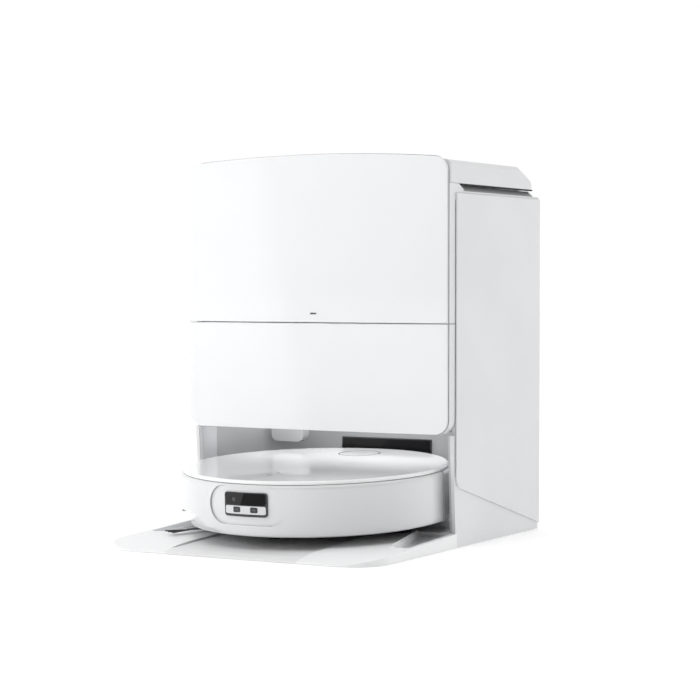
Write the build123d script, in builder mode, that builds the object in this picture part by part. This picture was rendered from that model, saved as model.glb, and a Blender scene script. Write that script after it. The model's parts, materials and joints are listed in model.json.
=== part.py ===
from build123d import *
import os
from math import cos, radians, sin, tan

# A robot vacuum in its washing and emptying dock, in millimetres. The origin is on the floor at the middle of
# the dock's footprint; +X is to the right seen from the front, +Y is to the back and +Z is up.

# ---- Driving dimensions: dock ----
WIDTH = 381.0
DEPTH = 466.0
HEIGHT = 488.0
COVER_T = 2.5  # side covers and rear cover
WALL = 4.5  # side walls
FLOOR_GAP = 1.2  # height of the rubber feet
TILT = 2.75  # degrees, slope of the ramp and of the docked robot
RAMP_Z = 17.0  # ramp surface under the robot's centre
LANE_H = 1.0  # wheel lanes above the reference plane
DISH_HALF, DISH_DEPTH = 92.0, 2.5
DISH_FRONT = -203.0  # along the slope, ahead of the robot's centre
RAMP_CORNER_R = 48.0
RIDGE_W = 3.0
RIDGE = ((163.0, -128.0), (139.0, -14.0))  # inner edge of the pocket outside each wheel lane
RIDGE_H = 2.0

HALF = WIDTH / 2
BODY_HALF = HALF - COVER_T
BAY_HALF = BODY_HALF - WALL
REAR_Y = DEPTH / 2
BODY_REAR = REAR_Y - COVER_T
RAMP_TIP = -DEPTH / 2
RAMP_REAR = -12.0
FRAME_Y = -28.5  # plane that both front panels stand on
STRIP_REAR = -13.0  # back edge of the lower front frame
SETBACK_Y = -12.0  # front edge of the side walls behind that frame
BAY_TOP = 140.5
SEAM_Z = 276.6
SEAM_GAP = 0.8
DECK_Z = 277.0
CEILING_Z = 143.0
FRAME_TOP = 430.0  # top of the side walls, where the top frame sits
GROOVE_Z = 440.0  # outer edge of the finger groove under the lid
RAIL_Z = 446.5
LID_Z = 449.0
LID_GAP = 0.4
LID_SIDE_Z = 477.0
LID_CROWN_Z = 486.5
HINGE_Y, HINGE_Z = 228.5, 445.5
SCREW_PLACES = [(side * 175, z) for side in (-1, 1) for z in (34, 160, 300, 415)]
PUMP_Y = 186.0
HOSE_PLACES = [(side * 150 + step, PUMP_Y) for side in (-1, 1) for step in (-7, 7)]
DUCT_X, DUCT_Y, DUCT_R = -101.0, 192.0, 20.0
PORT_Z = 209.0
FAN_AT = (84.0, 84.0)

PANEL_HALF = 187.2
PANEL_T = 4.0
PANEL_BOW = 3.5
PANEL_CORNER = 17.5
PANEL_SIDE_Z = 480.0

# ---- Driving dimensions: robot ----
ROBOT_R = 172.0
ROBOT_Y = -24.0
WHEEL_GAP = 0.4
GAP_Z = 75.3  # top of bumper and housing, under the cover
COVER_R = 167.6
COVER_TOP = 80.0
CHASSIS_Z = 11.5
CHASSIS_T = 2.5
BUMPER_END_Y = 15.0
SHELL_START_Y = 19.5
SHELL_Z = 14.0  # lower edge of bumper and rear shell
BUMPER_T, SHELL_T = 5.0, 3.0
WHEEL_X, WHEEL_R, WHEEL_W = 120.0, 32.0, 22.0
ARM_PIVOT_Y, ARM_PIVOT_Z = -40.0, 36.0
CASTER_Y, CASTER_R, CASTER_TRAIL = -108.0, 13.0, 4.0
BRUSH_Y, BRUSH_Z, BRUSH_R, BRUSH_HALF = -52.0, 23.0, 18.0, 83.0
SIDE_BRUSH_X, SIDE_BRUSH_Y, SIDE_BRUSH_REACH = -112.0, -78.0, 60.0
MOP_X, MOP_Y, MOP_R = 59.0, 86.0, 54.0
TOWER_Y, TOWER_R = 112.0, 27.5
WINDOW_Z, WINDOW_W, WINDOW_H = 51.5, 59.5, 29.0
RECESS_Z, RECESS_W, RECESS_H, RECESS_DEPTH = 50.0, 110.0, 47.0, 2.5
BIN_X, BIN_Y, BIN_Z = 72.0, (-22.0, 62.0), (30.0, 73.5)
BUTTON_YS, BUTTON_R = (-114.0, -92.0), 7.0
PIVOT_R, PIN_R, FIT = 4.0, 2.5, 0.08

SLOPE_UP = (0, -sin(radians(TILT)), cos(radians(TILT)))
SLOPE = Plane(origin=(0, ROBOT_Y, RAMP_Z), x_dir=(1, 0, 0), z_dir=SLOPE_UP)
ROBOT = SLOPE.offset(LANE_H + WHEEL_GAP)
ROBOT_SIDE = Plane(origin=ROBOT.origin, x_dir=(1, 0, 0), z_dir=ROBOT.y_dir * -1)


def save(builder, name):
    """Label a finished piece and write its STEP file."""
    builder.part.label = name
    export_step(builder.part, f"parts/{name}.step")


def block(x, y, z, mode=Mode.ADD):
    """A box between three (low, high) pairs."""
    with Locations(((x[0] + x[1]) / 2, (y[0] + y[1]) / 2, (z[0] + z[1]) / 2)):
        Box(x[1] - x[0], y[1] - y[0], z[1] - z[0], mode=mode)


def disc(radius, z, at=(0, 0), mode=Mode.ADD):
    """An upright cylinder between two heights."""
    with Locations((at[0], at[1], (z[0] + z[1]) / 2)):
        Cylinder(radius, z[1] - z[0], mode=mode)


def rod(radius, x, y, z, mode=Mode.ADD):
    """A cylinder along X between two (low, high) stations."""
    with Locations(((x[0] + x[1]) / 2, y, z)):
        Cylinder(radius, x[1] - x[0], rotation=(0, 90, 0), mode=mode)


def across(side, near, far):
    """The (low, high) X pair between two distances from the centre, on one side."""
    return tuple(sorted((side * near, side * far)))


def lane_height(y):
    """Height of the ramp's wheel lanes."""
    return RAMP_Z + LANE_H + (y - ROBOT_Y) * tan(radians(TILT))


# ---- Dock: base and bay ----


def entry_ramp():
    """Thin ramp with a rounded front, a shallow dish down the middle and a pocket outside each wheel lane."""
    ease_y, edge_t = -185.0, 3.2
    pocket_front, pocket_floor = RIDGE[0][1], 2.6
    with BuildPart() as ramp:
        with BuildSketch(Plane.YZ):
            with BuildLine():
                Line((ease_y, lane_height(ease_y)), (RAMP_REAR, lane_height(RAMP_REAR)))
                Line((RAMP_REAR, lane_height(RAMP_REAR)), (RAMP_REAR, FLOOR_GAP))
                Line((RAMP_REAR, FLOOR_GAP), (RAMP_TIP, FLOOR_GAP))
                Line((RAMP_TIP, FLOOR_GAP), (RAMP_TIP, edge_t))
                Bezier(
                    (RAMP_TIP, edge_t), (ease_y - 20, lane_height(ease_y - 20)), (ease_y, lane_height(ease_y))
                )
            make_face()
        extrude(amount=HALF, both=True)
        with BuildSketch():
            with BuildLine():
                Polyline(
                    (-HALF, RAMP_REAR), (-HALF, RAMP_TIP), (HALF, RAMP_TIP), (HALF, RAMP_REAR), close=True
                )
            face = make_face()
            fillet(face.vertices().sort_by(Axis.Y)[:2], RAMP_CORNER_R)
        extrude(amount=40, mode=Mode.INTERSECT)
        with BuildSketch(SLOPE.offset(LANE_H)):
            with BuildLine():
                Polyline(
                    (-DISH_HALF, DISH_FRONT), (-DISH_HALF, 20),
                    (DISH_HALF, 20), (DISH_HALF, DISH_FRONT), close=True,
                )
            make_face()
        extrude(amount=-DISH_DEPTH, taper=-8, mode=Mode.SUBTRACT)
        for side in (-1, 1):
            with BuildPart(mode=Mode.PRIVATE) as pocket:
                with BuildSketch(Plane.YZ):
                    with BuildLine():
                        Polyline(
                            (pocket_front, 40), (pocket_front, pocket_floor),
                            (pocket_front + 12, pocket_floor),
                            (RAMP_REAR - 2, lane_height(RAMP_REAR) - 5), (RAMP_REAR - 2, 40), close=True,
                        )
                    make_face()
                extrude(amount=HALF, both=True)
                with BuildSketch():
                    with BuildLine():
                        Polyline(
                            (side * RIDGE[0][0], pocket_front), (side * 184, pocket_front),
                            (side * 184, RAMP_REAR - 2),
                            (side * RIDGE[1][0], RAMP_REAR - 2), close=True,
                        )
                    face = make_face()
                    fillet(face.vertices(), 5)
                extrude(amount=50, mode=Mode.INTERSECT)
            add(pocket.part, mode=Mode.SUBTRACT)
            with BuildSketch(SLOPE.offset(LANE_H - 1)):
                with BuildLine():
                    Line(*[(side * (x - RIDGE_W + 0.5), y - ROBOT_Y) for x, y in RIDGE])
                trace(line_width=RIDGE_W)
            extrude(amount=1 + RIDGE_H, taper=12)
    save(ramp, "entry_ramp")


def base_tray():
    """Bay floor: sloped top with the end of the ramp's dish, a suction mouth and a wash basin."""
    front, level_y = RAMP_REAR + 0.5, 164.0
    with BuildPart() as tray:
        with BuildSketch(Plane.YZ):
            with BuildLine():
                Polyline(
                    (front, FLOOR_GAP),
                    (front, lane_height(front)),
                    (level_y, lane_height(level_y)),
                    (level_y, RAMP_Z + 3),
                    (BODY_REAR - 3, RAMP_Z + 3),
                    (BODY_REAR - 3, FLOOR_GAP),
                    close=True,
                )
            make_face()
        extrude(amount=BAY_HALF - 0.3, both=True)
        with BuildSketch(SLOPE.offset(LANE_H)):
            with Locations((0, 4)):
                Rectangle(2 * DISH_HALF, 56)
        extrude(amount=-DISH_DEPTH, mode=Mode.SUBTRACT)
        with BuildSketch(SLOPE.offset(LANE_H)):
            with Locations((0, MOP_Y)):
                RectangleRounded(250, 124, 30)
        extrude(amount=-10, mode=Mode.SUBTRACT)
        with BuildSketch(SLOPE):
            with Locations((0, 12)):
                RectangleRounded(130, 16, 6)
        extrude(amount=-7, mode=Mode.SUBTRACT)
    save(tray, "base_tray")


def wash_strainer():
    """Ribbed, slotted plate in the basin that the mop pads are scrubbed on."""
    ribs = 9
    with BuildPart() as strainer:
        with BuildSketch(SLOPE.offset(-8.5)):
            with Locations((0, MOP_Y)):
                RectangleRounded(244, 118, 27)
        extrude(amount=2.5)
        with BuildSketch(SLOPE.offset(-8.5)):
            with Locations((0, MOP_Y)):
                with GridLocations(26, 22, ribs - 1, 4):
                    RectangleRounded(16, 6, 2.5)
        extrude(amount=2.5, mode=Mode.SUBTRACT)
        with BuildSketch(SLOPE.offset(-6.5)):
            with Locations((0, MOP_Y)):
                with GridLocations(26, 0, ribs, 1):
                    RectangleRounded(4, 96, 1.9)
        extrude(amount=7.5)
    save(strainer, "wash_strainer")


def bay_lining():
    """Curved rear wall that follows the docked robot."""
    inner, rear, radius, front, thick = BAY_HALF - 3.0, 159.5, 106.5, 20.0, 3.0
    bend = rear - radius
    with BuildPart() as lining:
        with BuildSketch():
            with BuildLine() as path:
                Line((inner, front), (inner, bend))
                RadiusArc((inner, bend), (inner - radius, rear), -radius)
                Line((inner - radius, rear), (radius - inner, rear))
                RadiusArc((radius - inner, rear), (-inner, bend), -radius)
                Line((-inner, bend), (-inner, front))
                Line((-inner, front), (-inner - thick, front))
                Line((-inner - thick, front), (-inner - thick, bend))
                RadiusArc((-inner - thick, bend), (radius - inner, rear + thick), radius + thick)
                Line((radius - inner, rear + thick), (inner - radius, rear + thick))
                RadiusArc((inner - radius, rear + thick), (inner + thick, bend), radius + thick)
                Line((inner + thick, bend), (inner + thick, front))
                Line((inner + thick, front), (inner, front))
            make_face()
        extrude(amount=CEILING_Z)
        split(bisect_by=SLOPE.offset(LANE_H), keep=Keep.TOP)
    save(lining, "bay_lining")


def bay_ceiling():
    """Deck over the bay, with the housing of the water refill nozzle hanging at the back left."""
    nozzle_x, nozzle_y, nozzle_low = (-150, -100), (108, 123), 113.3
    with BuildPart() as ceiling:
        block((-BAY_HALF, BAY_HALF), (SETBACK_Y, BODY_REAR), (CEILING_Z, CEILING_Z + 3))
        disc(DUCT_R + 0.5, (CEILING_Z, CEILING_Z + 3), (DUCT_X, DUCT_Y), mode=Mode.SUBTRACT)
        for place in HOSE_PLACES:
            disc(4.5, (CEILING_Z, CEILING_Z + 3), place, mode=Mode.SUBTRACT)
        with BuildSketch(Plane.XZ.offset(-nozzle_y[0])):
            with Locations((sum(nozzle_x) / 2, nozzle_low + 18)):
                RectangleRounded(nozzle_x[1] - nozzle_x[0], 36, 10)
        extrude(amount=nozzle_y[0] - nozzle_y[1])
        block(nozzle_x, nozzle_y, (CEILING_Z + 1.5, CEILING_Z + 10), mode=Mode.SUBTRACT)
        for x in (-140, -120):
            disc(2.5, (CEILING_Z - 40, CEILING_Z - 20), (x, sum(nozzle_y) / 2), mode=Mode.SUBTRACT)
    save(ceiling, "bay_ceiling")


def air_ducts():
    """Elbow duct from the bay floor to the dust bag's port, and the fan's scroll housing with its neck."""
    inside = DUCT_R - 2.5
    low, high = 198.0, 226.0
    with BuildPart() as ducts:
        with BuildLine() as path:
            FilletPolyline(
                (DUCT_X, DUCT_Y, RAMP_Z + 3), (DUCT_X, DUCT_Y, PORT_Z), (DUCT_X, 146, PORT_Z), radius=34
            )
        with BuildSketch(Plane.XY.offset(RAMP_Z + 3)):
            with Locations((DUCT_X, DUCT_Y)):
                Circle(DUCT_R)
                Circle(inside, mode=Mode.SUBTRACT)
        sweep(path=path.line)
        disc(52, (low, high), FAN_AT)
        block((FAN_AT[0] + 2, FAN_AT[0] + 52), (FAN_AT[1], 205), (low, high))
        disc(49, (low - 2, high - 2.5), FAN_AT, mode=Mode.SUBTRACT)
        block((FAN_AT[0] + 5, FAN_AT[0] + 49), (FAN_AT[1], 206), (low + 2.5, high - 2.5), mode=Mode.SUBTRACT)
        disc(24, (high - 4, high + 4), FAN_AT, mode=Mode.SUBTRACT)
    save(ducts, "air_ducts")


def side_frame(side, name):
    """Side wall: raked beside the bay, set back behind the lower front frame, full depth above the seam."""
    with BuildPart() as wall:
        with BuildSketch(Plane.YZ.offset(side * (BODY_HALF - WALL / 2))):
            with BuildLine():
                Polyline(
                    (-10.0, FLOOR_GAP),
                    (-18.5, BAY_TOP - 1),
                    (SETBACK_Y, BAY_TOP - 1),
                    (SETBACK_Y, DECK_Z),
                    (FRAME_Y, DECK_Z),
                    (FRAME_Y, FRAME_TOP),
                    (BODY_REAR, FRAME_TOP),
                    (BODY_REAR, FLOOR_GAP),
                    close=True,
                )
            make_face()
        extrude(amount=WALL / 2, both=True)
        with BuildSketch(Plane.XZ.offset(-BODY_REAR)):
            with Locations(*[(x, z) for x, z in SCREW_PLACES if x * side > 0]):
                Rectangle(2 * (BAY_HALF - 175) + 1, 12)
                Circle(1.5, mode=Mode.SUBTRACT)
        extrude(amount=14)
    save(wall, name)


def side_cover(side, name):
    """Flat trim panel on the side wall, its lower edge running down to the back."""
    front, top, rear_low, front_low = -12.5, 437.0, 9.0, 76.5
    with BuildPart() as cover:
        with BuildSketch(Plane.YZ.offset(side * BODY_HALF)):
            with BuildLine():
                Polyline((front, front_low), (front, top), (REAR_Y, top), (REAR_Y, rear_low), close=True)
            face = make_face()
            front_low_corner, front_top_corner = face.vertices().sort_by(Axis.X)[:2].sort_by(Axis.Y)
            fillet(front_low_corner, 15)
            fillet(front_top_corner, 9)
        extrude(amount=side * COVER_T)
        fillet(cover.faces().sort_by(Axis.X)[-1 if side > 0 else 0].edges(), 0.8)
    save(cover, name)


def rear_cover():
    """Flat back panel with exhaust slots, the inlet's opening and screw seats."""
    with BuildPart() as cover:
        block((-BODY_HALF, BODY_HALF), (BODY_REAR, REAR_Y), (FLOOR_GAP, GROOVE_Z))
        with BuildSketch(Plane.XZ.offset(-REAR_Y)):
            with Locations((95, 205)):
                with GridLocations(0, 9, 1, 9):
                    SlotOverall(110, 3.6)
            with Locations((-135, 45)):
                Rectangle(34, 26)
            with Locations(*SCREW_PLACES):
                Circle(3.6)
        extrude(amount=COVER_T, both=True, mode=Mode.SUBTRACT)
    save(cover, "rear_cover")


def dock_screws():
    """Screws through the rear cover into the bosses of the side frames, heads sunk in the cover."""
    with BuildPart() as screws:
        with BuildSketch(Plane.XZ.offset(-BODY_REAR)):
            with Locations(*SCREW_PLACES):
                Circle(3.4)
        extrude(amount=-2)
        with BuildSketch(Plane.XZ.offset(-BODY_REAR - 2)):
            with Locations(*SCREW_PLACES):
                Rectangle(4.2, 0.9)
                Rectangle(0.9, 4.2)
        extrude(amount=0.8, mode=Mode.SUBTRACT)
        with BuildSketch(Plane.XZ.offset(-BODY_REAR)):
            with Locations(*SCREW_PLACES):
                Circle(1.5)
        extrude(amount=12)
    save(screws, "dock_screws")


def docking_window():
    """Dark infrared window on the bay's back wall that the robot homes on."""
    with BuildPart() as window:
        block((-66.5, 66.5), (157.5, 159.5), (62, 118))
    save(window, "docking_window")


def charge_contacts():
    """Two contact blades below the window."""
    with BuildPart() as contacts:
        for side in (-1, 1):
            block(across(side, 25, 37), (148.5, 159.5), (42, 56))
        fillet(contacts.edges().filter_by(Axis.Z).group_by(Axis.Y)[0], 3)
    save(contacts, "charge_contacts")


FEET = ((150, -170), (165, 20), (165, 205))


def rubber_feet():
    """Eight rubber discs under the ramp and the base."""
    with BuildPart() as feet:
        with BuildSketch():
            with Locations((0, -200), (0, 205), *[(x, y) for x, y in FEET], *[(-x, y) for x, y in FEET]):
                Circle(9)
        extrude(amount=FLOOR_GAP)
    save(feet, "rubber_feet")


# ---- Dock: upper housing ----


def panel_outline_upper():
    """Front view of the upper panel: straight seam edge below, arched top with rounded corners."""
    with BuildSketch(Plane.XZ.offset(-FRAME_Y)) as outline:
        with BuildLine():
            low = SEAM_Z + SEAM_GAP / 2
            Line((-PANEL_HALF, low), (PANEL_HALF, low))
            Line((PANEL_HALF, low), (PANEL_HALF, PANEL_SIDE_Z))
            ThreePointArc((PANEL_HALF, PANEL_SIDE_Z), (0, HEIGHT), (-PANEL_HALF, PANEL_SIDE_Z))
            Line((-PANEL_HALF, PANEL_SIDE_Z), (-PANEL_HALF, low))
        face = make_face()
        fillet(face.vertices().group_by(Axis.Y)[-1], PANEL_CORNER)
    return outline.sketch


def panel_outline_lower():
    """Front view of the lower panel: straight seam edge above, rounded corners below."""
    with BuildSketch(Plane.XZ.offset(-FRAME_Y)) as outline:
        with Locations((0, (BAY_TOP + 0.5 + SEAM_Z - SEAM_GAP / 2) / 2)):
            face = Rectangle(2 * PANEL_HALF, SEAM_Z - SEAM_GAP / 2 - BAY_TOP - 0.5)
        fillet(face.vertices().group_by(Axis.Y)[0], PANEL_CORNER)
    return outline.sketch


def front_panel(outline, name):
    """Gloss panel, bowed forward across its width, with softened edges."""
    edge_y = FRAME_Y - PANEL_T
    with BuildPart() as panel:
        with BuildSketch():
            with BuildLine():
                ThreePointArc((-PANEL_HALF - 1, edge_y), (0, edge_y - PANEL_BOW), (PANEL_HALF + 1, edge_y))
                Polyline(
                    (PANEL_HALF + 1, edge_y), (PANEL_HALF + 1, FRAME_Y),
                    (-PANEL_HALF - 1, FRAME_Y), (-PANEL_HALF - 1, edge_y),
                )
            make_face()
        extrude(amount=HEIGHT + 10)
        extrude(outline, amount=PANEL_T + PANEL_BOW + 1, mode=Mode.INTERSECT)
        fillet(panel.faces().sort_by(Axis.Y)[0].edges(), 1.2)
        if name == "upper_front_panel":
            block((-4.6, 4.6), (FRAME_Y - 10, FRAME_Y), (287, 289.4), mode=Mode.SUBTRACT)
    save(panel, name)


def status_light():
    """Small light bar in the upper panel."""
    with BuildPart() as light:
        block((-4.4, 4.4), (FRAME_Y - PANEL_T - PANEL_BOW + 0.4, FRAME_Y), (287.2, 289.2))
    save(light, "status_light")


def lower_front_frame():
    """Shallow tray that carries the lower panel and wraps round to the sides."""
    with BuildPart() as frame:
        with BuildSketch(Plane.XZ.offset(-FRAME_Y)):
            with Locations((0, (BAY_TOP + SEAM_Z - SEAM_GAP / 2) / 2)):
                face = Rectangle(2 * BODY_HALF, SEAM_Z - SEAM_GAP / 2 - BAY_TOP)
            fillet(face.vertices().group_by(Axis.Y)[0], PANEL_CORNER + 0.8)
        extrude(amount=FRAME_Y - STRIP_REAR)
        with BuildSketch(Plane.XZ.offset(-FRAME_Y - 3)):
            with Locations((0, (BAY_TOP + SEAM_Z - SEAM_GAP / 2) / 2)):
                face = Rectangle(2 * BODY_HALF - 6, SEAM_Z - SEAM_GAP / 2 - BAY_TOP - 6)
            fillet(face.vertices().group_by(Axis.Y)[0], PANEL_CORNER - 2.2)
        extrude(amount=FRAME_Y - STRIP_REAR, mode=Mode.SUBTRACT)
    save(frame, "lower_front_frame")


def tank_deck():
    """Deck under the water tanks with a central rib between them."""
    with BuildPart() as deck:
        block((-BAY_HALF, BAY_HALF), (SETBACK_Y, BODY_REAR), (DECK_Z, DECK_Z + 2.5))
        block((-1.5, 1.5), (SETBACK_Y, 160), (DECK_Z, DECK_Z + 40))
        block((-BAY_HALF, BAY_HALF), (160, 163), (DECK_Z, FRAME_TOP))
    save(deck, "tank_deck")


def top_frame():
    """Ring round the tanks with the upper panel's plate, finger grooves at the sides and hinge knuckles."""
    inner, front_in, rear_in = 174.0, SETBACK_Y, 196.0
    with BuildPart() as frame:
        block((-BAY_HALF, BAY_HALF), (FRAME_Y, FRAME_Y + 3), (DECK_Z, FRAME_TOP))
        for x in (-90, 90):
            block((x - 1.5, x + 1.5), (FRAME_Y + 3, front_in), (DECK_Z, FRAME_TOP))
        block((-inner, inner), (FRAME_Y, front_in), (FRAME_TOP, LID_Z - LID_GAP))
        block((-inner, inner), (rear_in, BODY_REAR), (FRAME_TOP, GROOVE_Z))
        for side in (-1, 1):
            with BuildSketch(Plane.YZ.offset(side * (BODY_HALF + inner) / 2)):
                with BuildLine():
                    Polyline(
                        (FRAME_Y, FRAME_TOP),
                        (FRAME_Y, LID_Z - LID_GAP),
                        (-3.0, LID_Z - LID_GAP),
                        (14.0, GROOVE_Z),
                        (BODY_REAR, GROOVE_Z),
                        (BODY_REAR, FRAME_TOP),
                        close=True,
                    )
                make_face()
            extrude(amount=(BODY_HALF - inner) / 2, both=True)
            with BuildSketch(Plane.XZ.offset(3)):
                with BuildLine():
                    Polyline(
                        (side * inner, GROOVE_Z - 2),
                        (side * inner, RAIL_Z),
                        (side * 181, RAIL_Z),
                        (side * BODY_HALF, GROOVE_Z),
                        (side * BODY_HALF, GROOVE_Z - 2),
                        close=True,
                    )
                make_face()
            extrude(amount=-218)
            for near in (90.0, 120.3):
                rod(3.0, across(side, near, near + 9.4), HINGE_Y, HINGE_Z)
                block(across(side, near, near + 9.4), (HINGE_Y - 3, BODY_REAR), (GROOVE_Z - 1, HINGE_Z))
            rod(1.6, across(side, 85, 135), HINGE_Y, HINGE_Z, mode=Mode.SUBTRACT)
    save(frame, "top_frame")


def lid_volume(inset):
    """Closed volume of the lid, its sides, crown and back moved in by a wall thickness."""
    with BuildPart() as volume:
        with BuildSketch(Plane.XY.offset(LID_Z)):
            with Locations((0, (FRAME_Y + 0.5 + BODY_REAR) / 2)):
                face = Rectangle(2 * (BODY_HALF - inset), BODY_REAR - FRAME_Y - 0.5 - 2 * inset)
            fillet(face.vertices().group_by(Axis.Y)[-1], 25 - inset)
        extrude(amount=60)
        with BuildSketch(Plane.YZ):
            with BuildLine():
                Line((FRAME_Y, 400), (FRAME_Y, LID_CROWN_Z + 1 - inset))
                Line((FRAME_Y, LID_CROWN_Z + 1 - inset), (138, LID_CROWN_Z + 1 - inset))
                ThreePointArc(
                    (138, LID_CROWN_Z + 1 - inset), (190 - inset / 2, 471.0 - inset),
                    (BODY_REAR - inset, 452.5 - inset),
                )
                Line((BODY_REAR - inset, 452.5 - inset), (BODY_REAR - inset, 400))
                Line((BODY_REAR - inset, 400), (FRAME_Y, 400))
            make_face()
        extrude(amount=BODY_HALF, both=True, mode=Mode.INTERSECT)
        with BuildSketch(Plane.XZ):
            with BuildLine():
                low, high = LID_SIDE_Z - inset, LID_CROWN_Z - inset
                ThreePointArc((-BODY_HALF, low), (0, high), (BODY_HALF, low))
                Polyline((BODY_HALF, low), (BODY_HALF, 400), (-BODY_HALF, 400), (-BODY_HALF, low))
            make_face()
        extrude(amount=REAR_Y + 20, both=True, mode=Mode.INTERSECT)
    return volume.part


def lid_shell():
    """Arched lid, open below, with two hinge knuckles whose pins turn in the top frame."""
    outer, hollow = lid_volume(0), lid_volume(3)
    with BuildPart() as lid:
        add(outer)
        high_edges = lid.edges().filter_by(lambda edge: edge.center().Z > LID_Z + 5)
        fillet(high_edges.filter_by(lambda edge: abs(edge.center().X) > 180), 6)
        add(hollow, mode=Mode.SUBTRACT)
        for side in (-1, 1):
            block(across(side, 100, 119.7), (HINGE_Y - 2, BODY_REAR), (HINGE_Z, LID_Z + 1))
            rod(3.0, across(side, 100, 119.7), HINGE_Y, HINGE_Z)
            rod(1.5, across(side, 92, 128), HINGE_Y, HINGE_Z)
    save(lid, "lid_shell")


def water_tank(side, name):
    """Open-topped tank with rounded upright edges."""
    x, y, z = across(side, 4, 172), (-8, 150), (DECK_Z + 2.5, 428)
    centre = ((x[0] + x[1]) / 2, (y[0] + y[1]) / 2)
    with BuildPart() as tank:
        with BuildSketch(Plane.XY.offset(z[0])):
            with Locations(centre):
                RectangleRounded(x[1] - x[0], y[1] - y[0], 14)
        extrude(amount=z[1] - z[0])
        fillet(tank.faces().sort_by(Axis.Z)[0].edges(), 5)
        with BuildSketch(Plane.XY.offset(z[0] + 2.5)):
            with Locations(centre):
                RectangleRounded(x[1] - x[0] - 5, y[1] - y[0] - 5, 11.5)
        extrude(amount=z[1] - z[0], mode=Mode.SUBTRACT)
    save(tank, name)


def tank_lid(side, name):
    """Tank lid with a bridge handle."""
    centre = (side * 88, 71)
    with BuildPart() as lid:
        with BuildSketch(Plane.XY.offset(428)):
            with Locations(centre):
                RectangleRounded(168, 158, 14)
        extrude(amount=9)
        with BuildSketch(Plane.XY.offset(424)):
            with Locations(centre):
                RectangleRounded(162.4, 152.4, 11)
                RectangleRounded(156, 146, 9, mode=Mode.SUBTRACT)
        extrude(amount=4)
        for end in (-1, 1):
            with Locations((centre[0] + end * 38, centre[1], 441.5)):
                Box(10, 16, 9)
        with Locations((centre[0], centre[1], 449)):
            Box(86, 16, 6)
    save(lid, name)


def dust_bag():
    """Soft filter bag as a plain rounded block, with its stiff collar and the suction port through it."""
    collar_y = 139.0
    with BuildPart() as bag:
        block((-166, -36), (0, collar_y), (150, 268))
        fillet(bag.edges().filter_by(Axis.Y), 22)
        fillet(bag.faces().sort_by(Axis.Y)[0].edges(), 12)
        with BuildSketch(Plane.XZ.offset(-collar_y)):
            with Locations((DUCT_X, PORT_Z)):
                RectangleRounded(110, 96, 6)
        extrude(amount=-3)
        with BuildSketch(Plane.XZ.offset(-collar_y - 3)):
            with Locations((DUCT_X, PORT_Z)):
                Circle(24)
        extrude(amount=-3)
        with BuildSketch(Plane.XZ.offset(-collar_y - 6)):
            with Locations((DUCT_X, PORT_Z)):
                Circle(20)
        extrude(amount=14, mode=Mode.SUBTRACT)
    save(bag, "dust_bag")


def fan_motor():
    """Dust extraction motor below the impeller."""
    with BuildPart() as motor:
        disc(36, (146, 192), FAN_AT)
        disc(30, (192, 197), FAN_AT)
        disc(PIVOT_R, (197, 222), FAN_AT)
        with Locations((FAN_AT[0], FAN_AT[1], 168)):
            with PolarLocations(36, 10):
                Box(4, 6, 26, mode=Mode.SUBTRACT)
    save(motor, "fan_motor")


def fan_impeller():
    """Impeller with curved vanes on the motor shaft."""
    with BuildSketch() as vane:
        with BuildLine():
            ThreePointArc((8, 0), (25, 6), (43, 0))
        trace(line_width=1.6)
    with BuildPart() as impeller:
        disc(44, (202, 204), FAN_AT)
        disc(9, (204, 218), FAN_AT)
        with BuildSketch(Plane(origin=(*FAN_AT, 204))):
            with PolarLocations(0, 9):
                add(vane.sketch)
        extrude(amount=12)
        disc(PIVOT_R + FIT, (200, 220), FAN_AT, mode=Mode.SUBTRACT)
    save(impeller, "fan_impeller")


def water_pump():
    """Two pumps behind the bay, for clean and for dirty water, with four hoses up to the tank deck."""
    with BuildPart() as pumps:
        for side in (-1, 1):
            at = (side * 150.0, PUMP_Y)
            disc(15, (40, 86), at)
            block((at[0] - 18, at[0] + 18), (at[1] - 18, at[1] + 18), (RAMP_Z + 3, 40))
        for place in HOSE_PLACES:
            disc(4, (86, DECK_Z), place)
            disc(2.5, (90, DECK_Z), place, mode=Mode.SUBTRACT)
    save(pumps, "water_pump")


BOARD_PARTS = ((-45, 236, 22, 22, 9), (-10, 236, 12, 26, 12), (40, 190, 40, 30, 16), (-40, 186, 30, 30, 7))


def control_board():
    """Main circuit board of the dock with its larger parts."""
    with BuildPart() as board:
        block((-70, 90), (206, 207.6), (160, 262))
        for x, z, w, h, depth in BOARD_PARTS:
            block((x - w / 2, x + w / 2), (207.6, 207.6 + depth), (z - h / 2, z + h / 2))
    save(board, "control_board")


def power_inlet():
    """Mains inlet socket in the back, with two pins at the bottom of its recess."""
    with BuildPart() as inlet:
        block((-151.6, -118.4), (208, REAR_Y), (32.4, 57.6))
        with BuildSketch(Plane.XZ.offset(-REAR_Y)):
            with Locations((-135, 45)):
                SlotOverall(22, 12)
        extrude(amount=17, mode=Mode.SUBTRACT)
        with BuildSketch(Plane.XZ.offset(-REAR_Y + 18)):
            with Locations((-139.5, 45), (-130.5, 45)):
                Circle(1.2)
        extrude(amount=-8)
    save(inlet, "power_inlet")


# ---- Robot: all in the frame of its tilted base plane ----


def half_ring(outer, inner, z, front):
    """Part of an upright ring, in front of or behind the line where the bumper meets the housing."""
    with BuildPart() as ring:
        disc(outer, z)
        disc(inner, z, mode=Mode.SUBTRACT)
        block((-200, 200), (SHELL_START_Y, 200) if front else (-200, SHELL_START_Y), z, mode=Mode.SUBTRACT)
    return ring.part


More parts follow.
